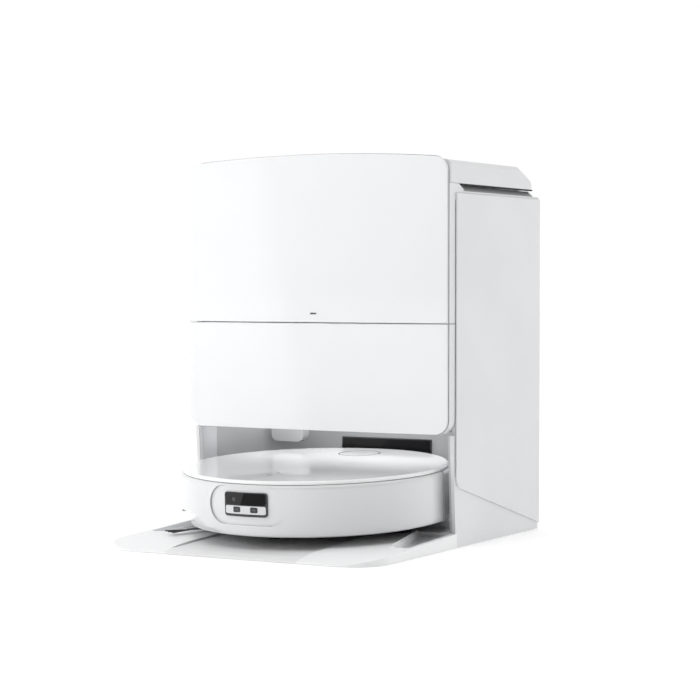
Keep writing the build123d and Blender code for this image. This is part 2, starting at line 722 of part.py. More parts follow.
def shell_ring(thick):
    """Full upright ring of the robot's outer wall: rounded shoulder above, drawn-in lower edge."""
    top_r, lower_r, waist_z = 4.6, ROBOT_R - 2.2, SHELL_Z + 9
    with BuildPart() as ring:
        with BuildSketch(Plane.XZ):
            with BuildLine():
                Line((ROBOT_R - thick, SHELL_Z), (lower_r, SHELL_Z))
                Bezier((lower_r, SHELL_Z), (ROBOT_R - 0.3, SHELL_Z + 0.6), (ROBOT_R, waist_z))
                Line((ROBOT_R, waist_z), (ROBOT_R, GAP_Z - top_r))
                ThreePointArc(
                    (ROBOT_R, GAP_Z - top_r),
                    (ROBOT_R - top_r + top_r * cos(radians(45)), GAP_Z - top_r + top_r * sin(radians(45))),
                    (ROBOT_R - top_r, GAP_Z),
                )
                Polyline(
                    (ROBOT_R - top_r, GAP_Z), (ROBOT_R - 6.8, GAP_Z), (ROBOT_R - 6.8, GAP_Z - 3),
                    (ROBOT_R - thick, GAP_Z - 3), (ROBOT_R - thick, SHELL_Z),
                )
            make_face()
        revolve(axis=Axis.Z)
    return ring.part


def robot_chassis():
    """Bottom pan with wells for the wheels, caster, brushes and mops."""
    base, floor_top = CHASSIS_Z, CHASSIS_Z + CHASSIS_T
    rear_skirt = half_ring(ROBOT_R - 3.2, 150, (base, floor_top), False)
    with BuildPart(ROBOT) as chassis:
        disc(160, (base, 28))
        disc(157.5, (floor_top, 28), mode=Mode.SUBTRACT)
        add(rear_skirt)
        for side in (-1, 1):
            disc(59.5, (base, 26), (side * MOP_X, MOP_Y))
            block(across(side, 97, 140), (-50, 40), (base, 44))
        disc(26, (base, 38), (0, CASTER_Y))
        block((-BRUSH_HALF - 6, BRUSH_HALF + 6), (BRUSH_Y - 23, BRUSH_Y + 23), (base, 45))
        disc(12, (base, 30), (SIDE_BRUSH_X, SIDE_BRUSH_Y))
        for side in (-1, 1):
            disc(57, (0, 24), (side * MOP_X, MOP_Y), mode=Mode.SUBTRACT)
            disc(17, (0, 30), (side * MOP_X, MOP_Y), mode=Mode.SUBTRACT)
            block(across(side, 99.5, 137.5), (-47.5, 37.5), (0, 50), mode=Mode.SUBTRACT)
            rod(PIVOT_R + FIT, across(side, 95, 100), ARM_PIVOT_Y, ARM_PIVOT_Z, mode=Mode.SUBTRACT)
        disc(23, (0, 28), (0, CASTER_Y), mode=Mode.SUBTRACT)
        disc(PIVOT_R + FIT, (26, 40), (0, CASTER_Y), mode=Mode.SUBTRACT)
        brush_room = BRUSH_HALF + 3
        block((-brush_room, brush_room), (BRUSH_Y - 20.5, BRUSH_Y + 20.5), (0, 42.5), mode=Mode.SUBTRACT)
        rod(PIVOT_R + FIT, (-BRUSH_HALF - 10, BRUSH_HALF + 10), BRUSH_Y, BRUSH_Z, mode=Mode.SUBTRACT)
        disc(PIVOT_R + FIT, (0, 32), (SIDE_BRUSH_X, SIDE_BRUSH_Y), mode=Mode.SUBTRACT)
    save(chassis, "robot_chassis")


def robot_housing():
    """Top deck, the outer wall of the back half, and the inner wall behind the bumper."""
    deck_z = 72.5
    inner_wall = half_ring(160.5, 158, (28.2, deck_z), True)
    with BuildPart() as outer_wall:
        add(shell_ring(SHELL_T))
        block((-200, 200), (-200, SHELL_START_Y), (0, 100), mode=Mode.SUBTRACT)
    with BuildPart(ROBOT) as housing:
        disc(160.5, (deck_z, GAP_Z))
        add(half_ring(ROBOT_R - 6, 150, (deck_z, GAP_Z), False))
        add(inner_wall)
        add(outer_wall.part)
        disc(TOWER_R + 0.6, (60, 90), (0, TOWER_Y), mode=Mode.SUBTRACT)
        block((-BIN_X - 0.8, BIN_X + 0.8), (BIN_Y[0] - 0.8, BIN_Y[1] + 0.8), (60, 90), mode=Mode.SUBTRACT)
        for x in (-100, 100):
            disc(5, (CHASSIS_Z + CHASSIS_T, deck_z), (x, -110))
    save(housing, "robot_housing")


def brush_guard():
    """Frame round the suction mouth with four thin bars under the brush."""
    with BuildPart(ROBOT) as guard:
        block((-92, 92), (BRUSH_Y - 26, BRUSH_Y + 26), (8.5, CHASSIS_Z))
        block((-84, 84), (BRUSH_Y - 19.6, BRUSH_Y + 19.6), (8, 12), mode=Mode.SUBTRACT)
        for x in (-48, -16, 16, 48):
            block((x - 1, x + 1), (BRUSH_Y - 21, BRUSH_Y + 21), (3, 4.4))
            for side in (-1, 1):
                end = BRUSH_Y + side * 20.5
                block((x - 1, x + 1), (end - 0.9, end + 0.9), (3, 9))
    save(guard, "brush_guard")


def battery():
    """Battery pack over the caster."""
    with BuildPart(ROBOT) as pack:
        block((-70, 70), (-136, -82), (40, 64))
        fillet(pack.edges().filter_by(Axis.X), 5)
    save(pack, "battery")


def main_board():
    """Robot's main circuit board with its larger parts."""
    with BuildPart(ROBOT) as board:
        block((-62, 62), (-132, -84), (66, 67.6))
        for x, y, w, d in ((-36, -110, 20, 20), (-6, -104, 16, 16), (30, -112, 26, 14), (44, -94, 12, 10)):
            block((x - w / 2, x + w / 2), (y - d / 2, y + d / 2), (67.6, 70.4))
    save(board, "main_board")


def vacuum_motor():
    """Suction fan of the robot, beside the dust box."""
    at = (100, 72)
    with BuildPart(ROBOT) as motor:
        disc(24, (29, 54), at)
        disc(15, (54, 68), at)
        with Locations((at[0], at[1], 41)):
            with PolarLocations(24, 12):
                Box(4, 3, 18, mode=Mode.SUBTRACT)
    save(motor, "vacuum_motor")


def robot_screws():
    """Pan-head screws under the chassis."""
    spots = [(0, 148), (-128, 78), (128, 78), (0, -142), (-90, -104), (90, -104), (-146, -20), (146, -20)]
    with BuildPart(ROBOT) as screws:
        with BuildSketch(ROBOT.offset(CHASSIS_Z)):
            with Locations(*spots):
                Circle(3)
        extrude(amount=-1.2)
        with BuildSketch(ROBOT.offset(CHASSIS_Z - 1.2)):
            with Locations(*spots):
                Rectangle(3.8, 0.8)
                Rectangle(0.8, 3.8)
        extrude(amount=0.6, mode=Mode.SUBTRACT)
    save(screws, "robot_screws")


def bumper():
    """Front ring with rounded shoulders, a recess for the sensors and a high cut over the side brush."""
    with BuildPart() as recess:
        with BuildSketch(Plane.XZ.offset(120)):
            with Locations((0, RECESS_Z)):
                SlotOverall(RECESS_W, RECESS_H)
        extrude(amount=60)
        disc(ROBOT_R - RECESS_DEPTH, (0, 100), mode=Mode.SUBTRACT)
    with BuildPart() as ring:
        add(shell_ring(BUMPER_T))
        block((-200, 200), (BUMPER_END_Y, 200), (0, 100), mode=Mode.SUBTRACT)
        with BuildSketch(Plane.XZ):
            with BuildLine():
                Polyline(
                    (-180, 0), (-180, 31), (-90, 33), (-72, 26), (-42, 17.5),
                    (-22, SHELL_Z - 1), (-22, 0), close=True,
                )
            make_face()
        extrude(amount=200, both=True, mode=Mode.SUBTRACT)
        add(recess.part, mode=Mode.SUBTRACT)
    with BuildPart(ROBOT) as bumper_part:
        add(ring.part)
    save(bumper_part, "bumper")


def sensor_window():
    """Curved sensor module standing in the recess of the bumper."""
    with BuildPart() as window:
        with BuildSketch(ROBOT_SIDE.offset(150)):
            with Locations((0, WINDOW_Z)):
                RectangleRounded(WINDOW_W, WINDOW_H, 3.5)
        extrude(amount=30)
        with Locations(ROBOT.location):
            Cylinder(ROBOT_R - RECESS_DEPTH, 200, mode=Mode.SUBTRACT)
            Cylinder(ROBOT_R - 0.5, 200, mode=Mode.INTERSECT)
    save(window, "sensor_window")


def top_cover():
    """Round magnetic cover with a soft edge, holes for the tower and the buttons."""
    with BuildPart(ROBOT) as cover:
        disc(COVER_R, (76, COVER_TOP))
        fillet(cover.edges().group_by(Axis.Z)[-1], 3)
        disc(TOWER_R + 0.6, (70, 90), (0, TOWER_Y), mode=Mode.SUBTRACT)
        for y in BUTTON_YS:
            disc(BUTTON_R + 0.4, (70, 90), (0, y), mode=Mode.SUBTRACT)
    save(cover, "top_cover")


def sensor_tower():
    """Turret: cap and base joined by slim posts, open all round for the ranging sensor."""
    with BuildPart(ROBOT) as tower:
        disc(TOWER_R, (77, COVER_TOP), (0, TOWER_Y))
        disc(TOWER_R, (50, 53), (0, TOWER_Y))
        disc(PIVOT_R, (53, 58), (0, TOWER_Y))
        with Locations((0, TOWER_Y, 65)):
            with PolarLocations(TOWER_R - 2, 4, start_angle=45):
                Cylinder(1.8, 26)
    save(tower, "sensor_tower")


def lidar_rotor():
    """Spinning head of the ranging sensor, with its lens window."""
    with BuildPart(ROBOT) as rotor:
        disc(21, (54, 74), (0, TOWER_Y))
        block((-14, 14), (TOWER_Y - 22, TOWER_Y - 17), (60, 72), mode=Mode.SUBTRACT)
        for x in (-7, 7):
            with Locations(Location((x, TOWER_Y - 16.5, 66), (90, 0, 0))):
                Cylinder(4, 3)
        disc(PIVOT_R + FIT, (50, 60), (0, TOWER_Y), mode=Mode.SUBTRACT)
    save(rotor, "lidar_rotor")


def button(y, name):
    """Round push button standing through the top cover."""
    with BuildPart(ROBOT) as key:
        disc(BUTTON_R, (77, COVER_TOP - 0.1), (0, y))
        disc(2.5, (GAP_Z + 1.2, 77), (0, y))
    save(key, name)


def suspension(side, name):
    """Swing arm with its pivot pin, gearbox and wheel axle."""
    with BuildPart(ROBOT) as arm:
        block(across(side, 101, 107.5), (ARM_PIVOT_Y - 6, 8), (24, 44))
        rod(PIVOT_R, across(side, 96, 103), ARM_PIVOT_Y, ARM_PIVOT_Z)
        rod(14, across(side, 101, 107.5), 0, WHEEL_R)
        rod(PIVOT_R, across(side, 107, 130), 0, WHEEL_R)
    save(arm, name)


def drive_wheel(side, name):
    """Rubber-treaded wheel with a spoked hub."""
    with BuildPart(ROBOT) as wheel:
        rod(WHEEL_R, across(side, WHEEL_X - WHEEL_W / 2, WHEEL_X + WHEEL_W / 2), 0, WHEEL_R)
        with Locations(Location((side * WHEEL_X, 0, WHEEL_R), (0, 90, 0))):
            with PolarLocations(WHEEL_R + 0.6, 24):
                Box(3, 3, WHEEL_W, mode=Mode.SUBTRACT)
            with PolarLocations(17, 6):
                Cylinder(4.5, WHEEL_W, mode=Mode.SUBTRACT)
        rod(PIVOT_R + FIT, across(side, 100, 140), 0, WHEEL_R, mode=Mode.SUBTRACT)
    save(wheel, name)


def caster_fork():
    """Swivelling fork with its stem and the wheel's pin."""
    wheel_y = CASTER_Y + CASTER_TRAIL
    with BuildPart(ROBOT) as fork:
        disc(PIVOT_R, (26.5, 36), (0, CASTER_Y))
        disc(16, (26.5, 27.6), (0, CASTER_Y))
        for side in (-1, 1):
            block(across(side, 8, 10.5), (wheel_y - 7, wheel_y + 7), (8, 27))
        rod(PIN_R, (-9, 9), wheel_y, CASTER_R)
    save(fork, "caster_fork")


def caster_wheel():
    """Small solid roller with rounded shoulders."""
    wheel_y = CASTER_Y + CASTER_TRAIL
    with BuildPart(ROBOT) as wheel:
        rod(CASTER_R, (-7.3, 7.3), wheel_y, CASTER_R)
        fillet(wheel.edges(), 3)
        rod(PIN_R + FIT, (-10, 10), wheel_y, CASTER_R, mode=Mode.SUBTRACT)
    save(wheel, "caster_wheel")


def main_brush():
    """Roller brush with fins in a chevron, on two stub shafts."""
    core_r, tip_r, fins, twist = 11.0, BRUSH_R - 0.2, 6, 40.0
    centre = ROBOT.from_local_coords(Vector(0, BRUSH_Y, BRUSH_Z))
    with BuildPart() as brush:
        for side in (-1, 1):
            outward = ROBOT.x_dir * side
            with BuildSketch(Plane(centre, x_dir=ROBOT.z_dir, z_dir=outward)):
                Circle(core_r)
            extrude(amount=BRUSH_HALF)
            with BuildSketch(Plane(centre + outward * BRUSH_HALF, x_dir=ROBOT.z_dir, z_dir=outward)):
                Circle(PIVOT_R)
            extrude(amount=5)
            for index in range(fins):
                for step in (0, 1):
                    angle = radians(index * 360 / fins + twist * step)
                    towards = ROBOT.z_dir * cos(angle) + ROBOT.y_dir * sin(angle)
                    middle = centre + outward * BRUSH_HALF * step
                    with BuildSketch(Plane(middle, x_dir=towards, z_dir=outward)):
                        with Locations(((core_r + tip_r) / 2 - 0.5, 0)):
                            Rectangle(tip_r - core_r + 1, 2.2)
                loft()
    save(brush, "main_brush")


def side_brush():
    """Hub with three bristle arms and a shaft up into the chassis."""
    centre = (SIDE_BRUSH_X, SIDE_BRUSH_Y)
    with BuildPart(ROBOT) as brush:
        disc(9, (3.5, 10.5), centre)
        disc(PIVOT_R, (10, 29), centre)
        with Locations((*centre, 4)):
            with PolarLocations(SIDE_BRUSH_REACH / 2 + 2, 3, start_angle=-47):
                Box(SIDE_BRUSH_REACH - 4, 5, 1.8)
    save(brush, "side_brush")


def mop_carrier():
    """Lifting carriage with the gear housings of both mops."""
    with BuildPart(ROBOT) as carrier:
        block((-MOP_X, MOP_X), (MOP_Y - 14, MOP_Y - 6), (32, 36))
        for side in (-1, 1):
            disc(15.5, (14, 42), (side * MOP_X, MOP_Y))
            disc(5 + FIT, (10, 31), (side * MOP_X, MOP_Y), mode=Mode.SUBTRACT)
    save(carrier, "mop_carrier")


def mop_disc(side, name):
    """Stiff plate with the drive shaft of one mop."""
    centre = (side * MOP_X, MOP_Y)
    with BuildPart(ROBOT) as plate:
        disc(50, (8, 10.5), centre)
        disc(14, (10.5, 13), centre)
        disc(5, (10.5, 30), centre)
    save(plate, name)


def mop_pad(side, name):
    """Soft round pad, as a plain disc."""
    with BuildPart(ROBOT) as pad:
        disc(MOP_R, (0, 8), (side * MOP_X, MOP_Y))
    save(pad, name)


def dustbin():
    """Open-topped dust box with a rounded rim and a lifting bar across."""
    y = BIN_Y
    with BuildPart(ROBOT) as box:
        block((-BIN_X, BIN_X), y, BIN_Z)
        block((-BIN_X + 2, BIN_X - 2), (y[0] + 2, y[1] - 2), (BIN_Z[0] + 2, BIN_Z[1] + 1), mode=Mode.SUBTRACT)
        block((-6, 6), y, (BIN_Z[1] - 4, BIN_Z[1]))
    save(box, "dustbin")


def build_all():
    """Write every sub-part."""
    os.makedirs("parts", exist_ok=True)
    for make in (
        entry_ramp, base_tray, wash_strainer, bay_lining, bay_ceiling, rear_cover, dock_screws,
        docking_window, charge_contacts, rubber_feet, status_light, lower_front_frame, tank_deck, top_frame,
        lid_shell, dust_bag, fan_motor, fan_impeller, air_ducts, water_pump,
        control_board, power_inlet, robot_chassis, robot_housing, brush_guard, battery, main_board,
        vacuum_motor, robot_screws, bumper, sensor_window, top_cover, sensor_tower, lidar_rotor,
        caster_fork, caster_wheel, main_brush, side_brush, mop_carrier, dustbin,
    ):
        make()
    front_panel(panel_outline_upper(), "upper_front_panel")
    front_panel(panel_outline_lower(), "lower_front_panel")
    for side, hand in ((-1, "left"), (1, "right")):
        side_frame(side, f"side_frame_{hand}")
        side_cover(side, f"side_cover_{hand}")
        suspension(side, f"suspension_{hand}")
        drive_wheel(side, f"drive_wheel_{hand}")
        mop_disc(side, f"mop_disc_{hand}")
        mop_pad(side, f"mop_pad_{hand}")
    for side, content in ((-1, "clean"), (1, "dirty")):
        water_tank(side, f"{content}_tank")
        tank_lid(side, f"{content}_tank_lid")
    for y, name in zip(BUTTON_YS, ("power_button", "dock_button")):
        button(y, name)


build_all()
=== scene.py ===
import json
import math
import random
import bmesh
import bpy
from mathutils import Matrix, Vector


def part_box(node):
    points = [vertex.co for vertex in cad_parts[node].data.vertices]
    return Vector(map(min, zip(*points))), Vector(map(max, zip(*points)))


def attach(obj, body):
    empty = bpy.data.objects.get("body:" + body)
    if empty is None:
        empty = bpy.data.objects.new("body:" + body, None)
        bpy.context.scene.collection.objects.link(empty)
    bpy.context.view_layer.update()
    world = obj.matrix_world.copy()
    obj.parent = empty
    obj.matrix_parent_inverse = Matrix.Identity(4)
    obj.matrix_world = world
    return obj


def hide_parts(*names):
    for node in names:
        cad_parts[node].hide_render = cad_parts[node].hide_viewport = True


# A robot vacuum in its washing and emptying dock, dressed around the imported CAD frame. The floor is
# z = 0 and the product faces -Y. Shapes are written in millimetres and scaled to metres by their frame.

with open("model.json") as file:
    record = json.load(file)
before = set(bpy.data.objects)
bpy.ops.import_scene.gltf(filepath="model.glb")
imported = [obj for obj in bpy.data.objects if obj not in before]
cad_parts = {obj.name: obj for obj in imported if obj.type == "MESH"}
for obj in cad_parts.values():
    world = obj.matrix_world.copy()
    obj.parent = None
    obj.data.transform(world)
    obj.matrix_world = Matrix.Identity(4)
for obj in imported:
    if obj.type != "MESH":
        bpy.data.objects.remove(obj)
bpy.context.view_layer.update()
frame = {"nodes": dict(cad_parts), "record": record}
nodes = frame["nodes"]
joints = {joint["name"]: joint for joint in frame["record"]["behaviour"]["joints"]}
MM = 0.001


def span(node):
    """Lowest and highest corners of a CAD node, in millimetres."""
    low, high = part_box(node)
    return low / MM, high / MM


# ---- Frames that pieces are placed in ----

UP = Vector(joints["top_cover_lift"]["axis"]).normalized()
BACK = Vector(joints["bumper_press"]["axis"]).normalized()
LIDAR_LOCAL = (0.0, 112.0, 64.0)
ROBOT_ORIGIN = Vector(joints["lidar_spin"]["pos_m"]) - (BACK * LIDAR_LOCAL[1] + UP * LIDAR_LOCAL[2]) * MM


def basis(x_axis, y_axis, z_axis, origin=(0, 0, 0)):
    """Matrix from three axes and an origin."""
    matrix = Matrix((x_axis, y_axis, z_axis)).transposed().to_4x4()
    matrix.translation = origin
    return matrix


DOCK = Matrix.Scale(MM, 4)
ROBOT = basis((1, 0, 0), BACK, UP, ROBOT_ORIGIN) @ Matrix.Scale(MM, 4)
FACING_FRONT = basis((1, 0, 0), (0, 0, 1), (0, -1, 0))
FACING_BACK = basis((-1, 0, 0), (0, 0, 1), (0, 1, 0))
FACING_RIGHT = basis((0, 1, 0), (0, 0, 1), (1, 0, 0))


def at(x=0.0, y=0.0, z=0.0):
    return Matrix.Translation((x, y, z))


def turned(degrees, axis="Z"):
    return Matrix.Rotation(math.radians(degrees), 4, axis)


# ---- Camera ----


CAMERA_PLACE = (1.3531, -2.3438, 0.3258)
CAMERA_YAW, CAMERA_PITCH = 29.389, -1.789
LENS = 109.32


def make_camera():
    """Long lens, slightly above and to the right of the product, looking back to its left."""
    yaw, pitch = math.radians(CAMERA_YAW), math.radians(CAMERA_PITCH)
    data = bpy.data.cameras.new("camera")
    data.sensor_width = 36.0
    data.lens = LENS
    data.clip_end = 60.0
    camera = bpy.data.objects.new("camera", data)
    camera.location = CAMERA_PLACE
    camera.rotation_euler = (math.pi / 2 + pitch, 0.0, yaw)
    bpy.context.scene.collection.objects.link(camera)
    bpy.context.scene.camera = camera


make_camera()


# ---- Material building blocks ----


materials = {}


class Graph:
    """Short names for adding and joining shader nodes in one material."""

    def __init__(self, name):
        self.name = name
        self.material = bpy.data.materials.new(name)
        self.material.use_nodes = True
        self.tree = self.material.node_tree
        self.shader = self.tree.nodes["Principled BSDF"]
        self.position = self.add("ShaderNodeTexCoord").outputs["Object"]

    def add(self, kind, **settings):
        node = self.tree.nodes.new(kind)
        for key, value in settings.items():
            setattr(node, key, value)
        return node

    def feed(self, socket, value):
        """Joins an output to a socket, or sets the socket to a plain value."""
        if hasattr(value, "links"):
            self.tree.links.new(value, socket)
        else:
            socket.default_value = value

    def fill(self, node, **values):
        """Feeds a node's inputs by name, with underscores for spaces, and gives its outputs."""
        for key, value in values.items():
            self.feed(node.inputs[key.replace("_", " ")], value)
        return node.outputs

    def stretched(self, scale):
        """Object coordinates scaled differently along each axis."""
        return self.fill(self.add("ShaderNodeMapping"), Vector=self.position, Scale=scale)["Vector"]

    def math(self, operation, first, second=0.0):
        node = self.add("ShaderNodeMath", operation=operation)
        self.feed(node.inputs[0], first)
        self.feed(node.inputs[1], second)
        return node.outputs["Value"]

    def along(self, direction):
        """Distance of a point along a direction, in metres."""
        node = self.add("ShaderNodeVectorMath", operation="DOT_PRODUCT")
        self.feed(node.inputs[0], self.position)
        self.feed(node.inputs[1], direction)
        return node.outputs["Value"]

    def noise(self, scale, detail=3.0, roughness=0.5, vector=None):
        node = self.add("ShaderNodeTexNoise")
        vector = vector or self.position
        return self.fill(node, Vector=vector, Scale=scale, Detail=detail, Roughness=roughness)["Fac"]

    def cells(self, scale, feature="F1"):
        node = self.add("ShaderNodeTexVoronoi", feature=feature)
        return self.fill(node, Vector=self.position, Scale=scale)["Distance"]

    def bands(self, scale, direction="X", distortion=0.0):
        node = self.add("ShaderNodeTexWave", bands_direction=direction)
        return self.fill(node, Vector=self.position, Scale=scale, Distortion=distortion)["Fac"]

    def ramp(self, factor, stops):
        """Colour ramp from (position, colour) pairs."""
        node = self.add("ShaderNodeValToRGB")
        elements = node.color_ramp.elements
        while len(elements) < len(stops):
            elements.new(0.5)
        for element, (position, colour) in zip(elements, stops):
            element.position = position
            element.color = (*colour, 1.0)
        return self.fill(node, Fac=factor)["Color"]

    def mottled(self, colour, low, high, scale, detail):
        """A colour that drifts between a darker and a lighter tone."""
        stops = [(0.3, near(colour, low)), (0.7, near(colour, high))]
        return self.ramp(self.noise(scale, detail), stops)

    def spread(self, factor, low, high, start=0.3, end=0.7):
        """Maps a factor's middle range onto low..high."""
        node = self.add("ShaderNodeMapRange")
        limits = {"From_Min": start, "From_Max": end, "To_Min": low, "To_Max": high}
        return self.fill(node, Value=factor, **limits)["Result"]

    def blend(self, factor, first, second):
        """One colour over another by a factor."""
        node = self.add("ShaderNodeMix", data_type="RGBA")
        self.feed(node.inputs[0], factor)
        for socket, value in zip((node.inputs[6], node.inputs[7]), (first, second)):
            self.feed(socket, value if hasattr(value, "links") else (*value, 1.0))
        return node.outputs[2]

    def bump(self, height, distance, under=None):
        node = self.add("ShaderNodeBump")
        if under is not None:
            self.feed(node.inputs["Normal"], under)
        return self.fill(node, Height=height, Distance=distance, Strength=1.0)["Normal"]

    def set(self, **values):
        """Feeds the inputs of the material's shader and files the material under its name."""
        self.fill(self.shader, **values)
        materials[self.name] = self.material


def near(colour, factor):
    """The colour scaled a little, kept below one."""
    return tuple(min(1.0, channel * factor) for channel in colour)


def moulded(name, colour, rough, grain=2600.0, depth=0.02, variation=0.03, **more):
    """Moulded plastic: fine grain, slow drift in colour and roughness, and a little dust."""
    g = Graph(name)
    base = g.mottled(colour, 1.0 - variation, 1.0 + variation * 0.4, 9.0, 2.0)
    speck = g.spread(g.noise(1400.0, 1.0), 0.0, 0.25, 0.66, 0.74)
    g.set(
        Base_Color=g.blend(speck, base, near(colour, 0.9)),
        Roughness=g.spread(g.noise(38.0, 4.0), rough * 0.88, rough * 1.14),
        Normal=g.bump(g.noise(grain, 2.0), depth * MM),
        **more,
    )


def gloss(name, colour, rough=0.09, coat=0.6):
    """Polished moulded plastic with a faint orange peel and wiped smears in the gloss."""
    g = Graph(name)
    smear = g.noise(14.0, 4.0, 0.6, g.stretched((1.0, 1.0, 3.0)))
    g.set(
        Base_Color=g.mottled(colour, 0.985, 1.01, 5.0, 2.0),
        Roughness=g.spread(smear, rough * 0.8, rough * 1.3),
        Normal=g.bump(g.noise(170.0, 1.0), 0.004 * MM),
        Coat_Weight=coat,
        Coat_Roughness=0.03,
    )


SPLIT_BLUR = 0.0006


def smoked_glass(name, direction, split, painted_reflection_level):
    """Black glass with a painted reflection: its part before a slanting dividing line is painted lighter.
    """
    g = Graph(name)
    # Painted reflection: by this mask the glass is lighter before the dividing line.
    side = g.spread(g.along(direction), 0.0, 1.0, split, split + SPLIT_BLUR)
    dark = g.ramp(g.noise(30.0, 2.0), [(0.3, (0.004, 0.004, 0.005)), (0.7, (0.006, 0.006, 0.007))])
    light = g.mottled((painted_reflection_level, painted_reflection_level, painted_reflection_level), 0.92, 1.08, 30.0, 2.0)
    g.set(
        Base_Color=g.blend(side, light, dark),
        Roughness=g.spread(g.noise(80.0, 4.0), 0.05, 0.1),
        Specular_IOR_Level=0.12,
    )


DISH_EDGE = (0.0915, 0.093)


def ramp_plastic(name, colour):
    """Textured ramp plastic, a shade darker in the shallow dish between the wheel lanes."""
    g = Graph(name)
    base = g.mottled(colour, 0.98, 1.01, 8.0, 3.0)
    across = g.math("ABSOLUTE", g.along((1.0, 0.0, 0.0)))
    dish = g.spread(across, 1.0, 0.0, *DISH_EDGE)
    scuff = g.spread(g.noise(60.0, 5.0, 0.7, g.stretched((1.0, 0.12, 1.0))), 0.0, 0.35, 0.62, 0.8)
    tone = g.blend(g.math("MULTIPLY", dish, 0.8), base, near(colour, 0.86))
    g.set(
        Base_Color=g.blend(scuff, tone, near(colour, 0.9)),
        Roughness=g.spread(g.noise(30.0, 4.0), 0.46, 0.58),
        Normal=g.bump(g.noise(900.0, 3.0), 0.05 * MM),
    )


def tank_plastic(name, colour, weight):
    """See-through moulded tank wall, slightly frosted."""
    g = Graph(name)
    g.set(
        Base_Color=g.mottled(colour, 0.96, 1.0, 12.0, 2.0),
        Roughness=g.spread(g.noise(200.0, 4.0), 0.12, 0.22),
        Normal=g.bump(g.noise(1500.0, 2.0), 0.01 * MM),
        Transmission_Weight=weight,
        IOR=1.3,
    )


def water(name, colour):
    """Clear or clouded water with a gently uneven surface."""
    g = Graph(name)
    g.set(
        Base_Color=g.ramp(g.noise(20.0, 3.0), [(0.35, near(colour, 0.93)), (0.65, colour)]),
        Roughness=g.spread(g.noise(60.0), 0.02, 0.05),
        Normal=g.bump(g.noise(25.0, 2.0), 0.3 * MM),
        Transmission_Weight=0.9,
        IOR=1.33,
    )


def looped_pile(name, colour):
    """Microfibre loops in rows, darker between them as painted shade, with a soft sheen."""
    g = Graph(name)
    loops = g.cells(420.0)
    painted_loop_shade = g.ramp(loops, [(0.1, near(colour, 1.25)), (0.7, near(colour, 0.45))])
    worn = g.spread(g.noise(40.0, 4.0), 0.0, 0.5, 0.5, 0.75)
    fibre = g.bump(g.noise(3800.0, 3.0), 0.15 * MM)
    g.set(
        Base_Color=g.blend(worn, painted_loop_shade, near(colour, 0.75)),
        Roughness=g.spread(g.noise(300.0), 0.88, 0.98),
        Normal=g.bump(g.math("SUBTRACT", 1.0, loops), 0.8 * MM, fibre),
        Sheen_Weight=0.5,
        Sheen_Roughness=0.4,
    )


def bonded_fabric(name, colour):
    """Non-woven filter fabric: random fibres pressed together at a grid of small bond points."""
    g = Graph(name)
    fibres = g.noise(520.0, 6.0, 0.75, g.stretched((1.0, 0.25, 1.0)))
    crossed = g.noise(520.0, 6.0, 0.75, g.stretched((0.25, 1.0, 1.0)))
    points = g.spread(g.cells(330.0), 1.0, 0.0, 0.12, 0.3)
    tone = g.ramp(fibres, [(0.3, near(colour, 0.88)), (0.7, near(colour, 1.05))])
    both = g.bump(crossed, 0.12 * MM, g.bump(fibres, 0.12 * MM))
    g.set(
        Base_Color=g.blend(points, tone, near(colour, 0.8)),
        Roughness=g.spread(g.noise(90.0), 0.86, 0.97),
        Normal=g.bump(points, -0.25 * MM, both),
        Sheen_Weight=0.25,
    )


def brushed(name, colour, rough):
    """Turned or drawn metal with fine lines along X."""
    g = Graph(name)
    lines = g.noise(700.0, 4.0, 0.6, g.stretched((0.05, 1.0, 1.0)))
    g.set(
        Base_Color=g.mottled(colour, 0.9, 1.0, 30.0, 3.0),
        Metallic=1.0,
        Roughness=g.spread(lines, rough * 0.75, rough * 1.3),
        Normal=g.bump(lines, 0.01 * MM),
    )


def circuit(name):
    """Solder mask over copper traces, with a scatter of small pads."""
    g = Graph(name)
    traces = g.math("GREATER_THAN", g.bands(120.0, "X", 6.0), 0.8)
    pads = g.math("LESS_THAN", g.cells(160.0), 0.16)
    mask = g.ramp(g.noise(25.0, 3.0), [(0.3, (0.012, 0.09, 0.045)), (0.7, (0.016, 0.12, 0.06))])
    traced = g.blend(traces, mask, (0.03, 0.19, 0.1))
    g.set(
        Base_Color=g.blend(pads, traced, (0.6, 0.58, 0.5)),
        Roughness=g.spread(g.noise(70.0), 0.3, 0.42),
        Normal=g.bump(traces, 0.05 * MM),
    )


def ribbed_rubber(name, colour, rough, grain=500.0):
    """Rubber with fine grain and a dusting of grey wear."""
    g = Graph(name)
    dust = g.spread(g.noise(55.0, 6.0, 0.7), 0.0, 0.6, 0.5, 0.75)
    g.set(
        Base_Color=g.blend(dust, colour, near(colour, 1.9)),
        Roughness=g.spread(g.noise(24.0, 3.0), rough * 0.9, min(1.0, rough * 1.1)),
        Normal=g.bump(g.noise(grain, 3.0), 0.12 * MM),
    )


# The direction across the dividing line of each glass's painted reflection, and the line's distance along
# it in metres.
SENSOR_SPLIT = (1.0, 0.0, -0.37), -0.0292
WINDOW_SPLIT = (1.0, 0.0, -0.95), -0.1088
gloss("gloss_white", (0.84, 0.845, 0.855))
moulded("satin_white", (0.765, 0.77, 0.78), 0.42)
ramp_plastic("ramp_white", (0.9, 0.905, 0.91))
moulded("bay_grey", (0.35, 0.353, 0.36), 0.4, variation=0.02)
gloss("dark_gloss", (0.010, 0.010, 0.012), 0.06, 0.3)
moulded("dark_plastic", (0.045, 0.045, 0.05), 0.5, grain=1500.0, depth=0.04)
moulded("grey_plastic", (0.25, 0.255, 0.265), 0.45)
tank_plastic("clear_tank", (0.86, 0.9, 0.94), 0.92)
tank_plastic("smoke_tank", (0.34, 0.35, 0.37), 0.85)
moulded("light_bar", (0.12, 0.12, 0.13), 0.3, grain=3000.0)
ribbed_rubber("rubber_black", (0.02, 0.02, 0.022), 0.75)
ribbed_rubber("tyre", (0.025, 0.025, 0.027), 0.82, 350.0)
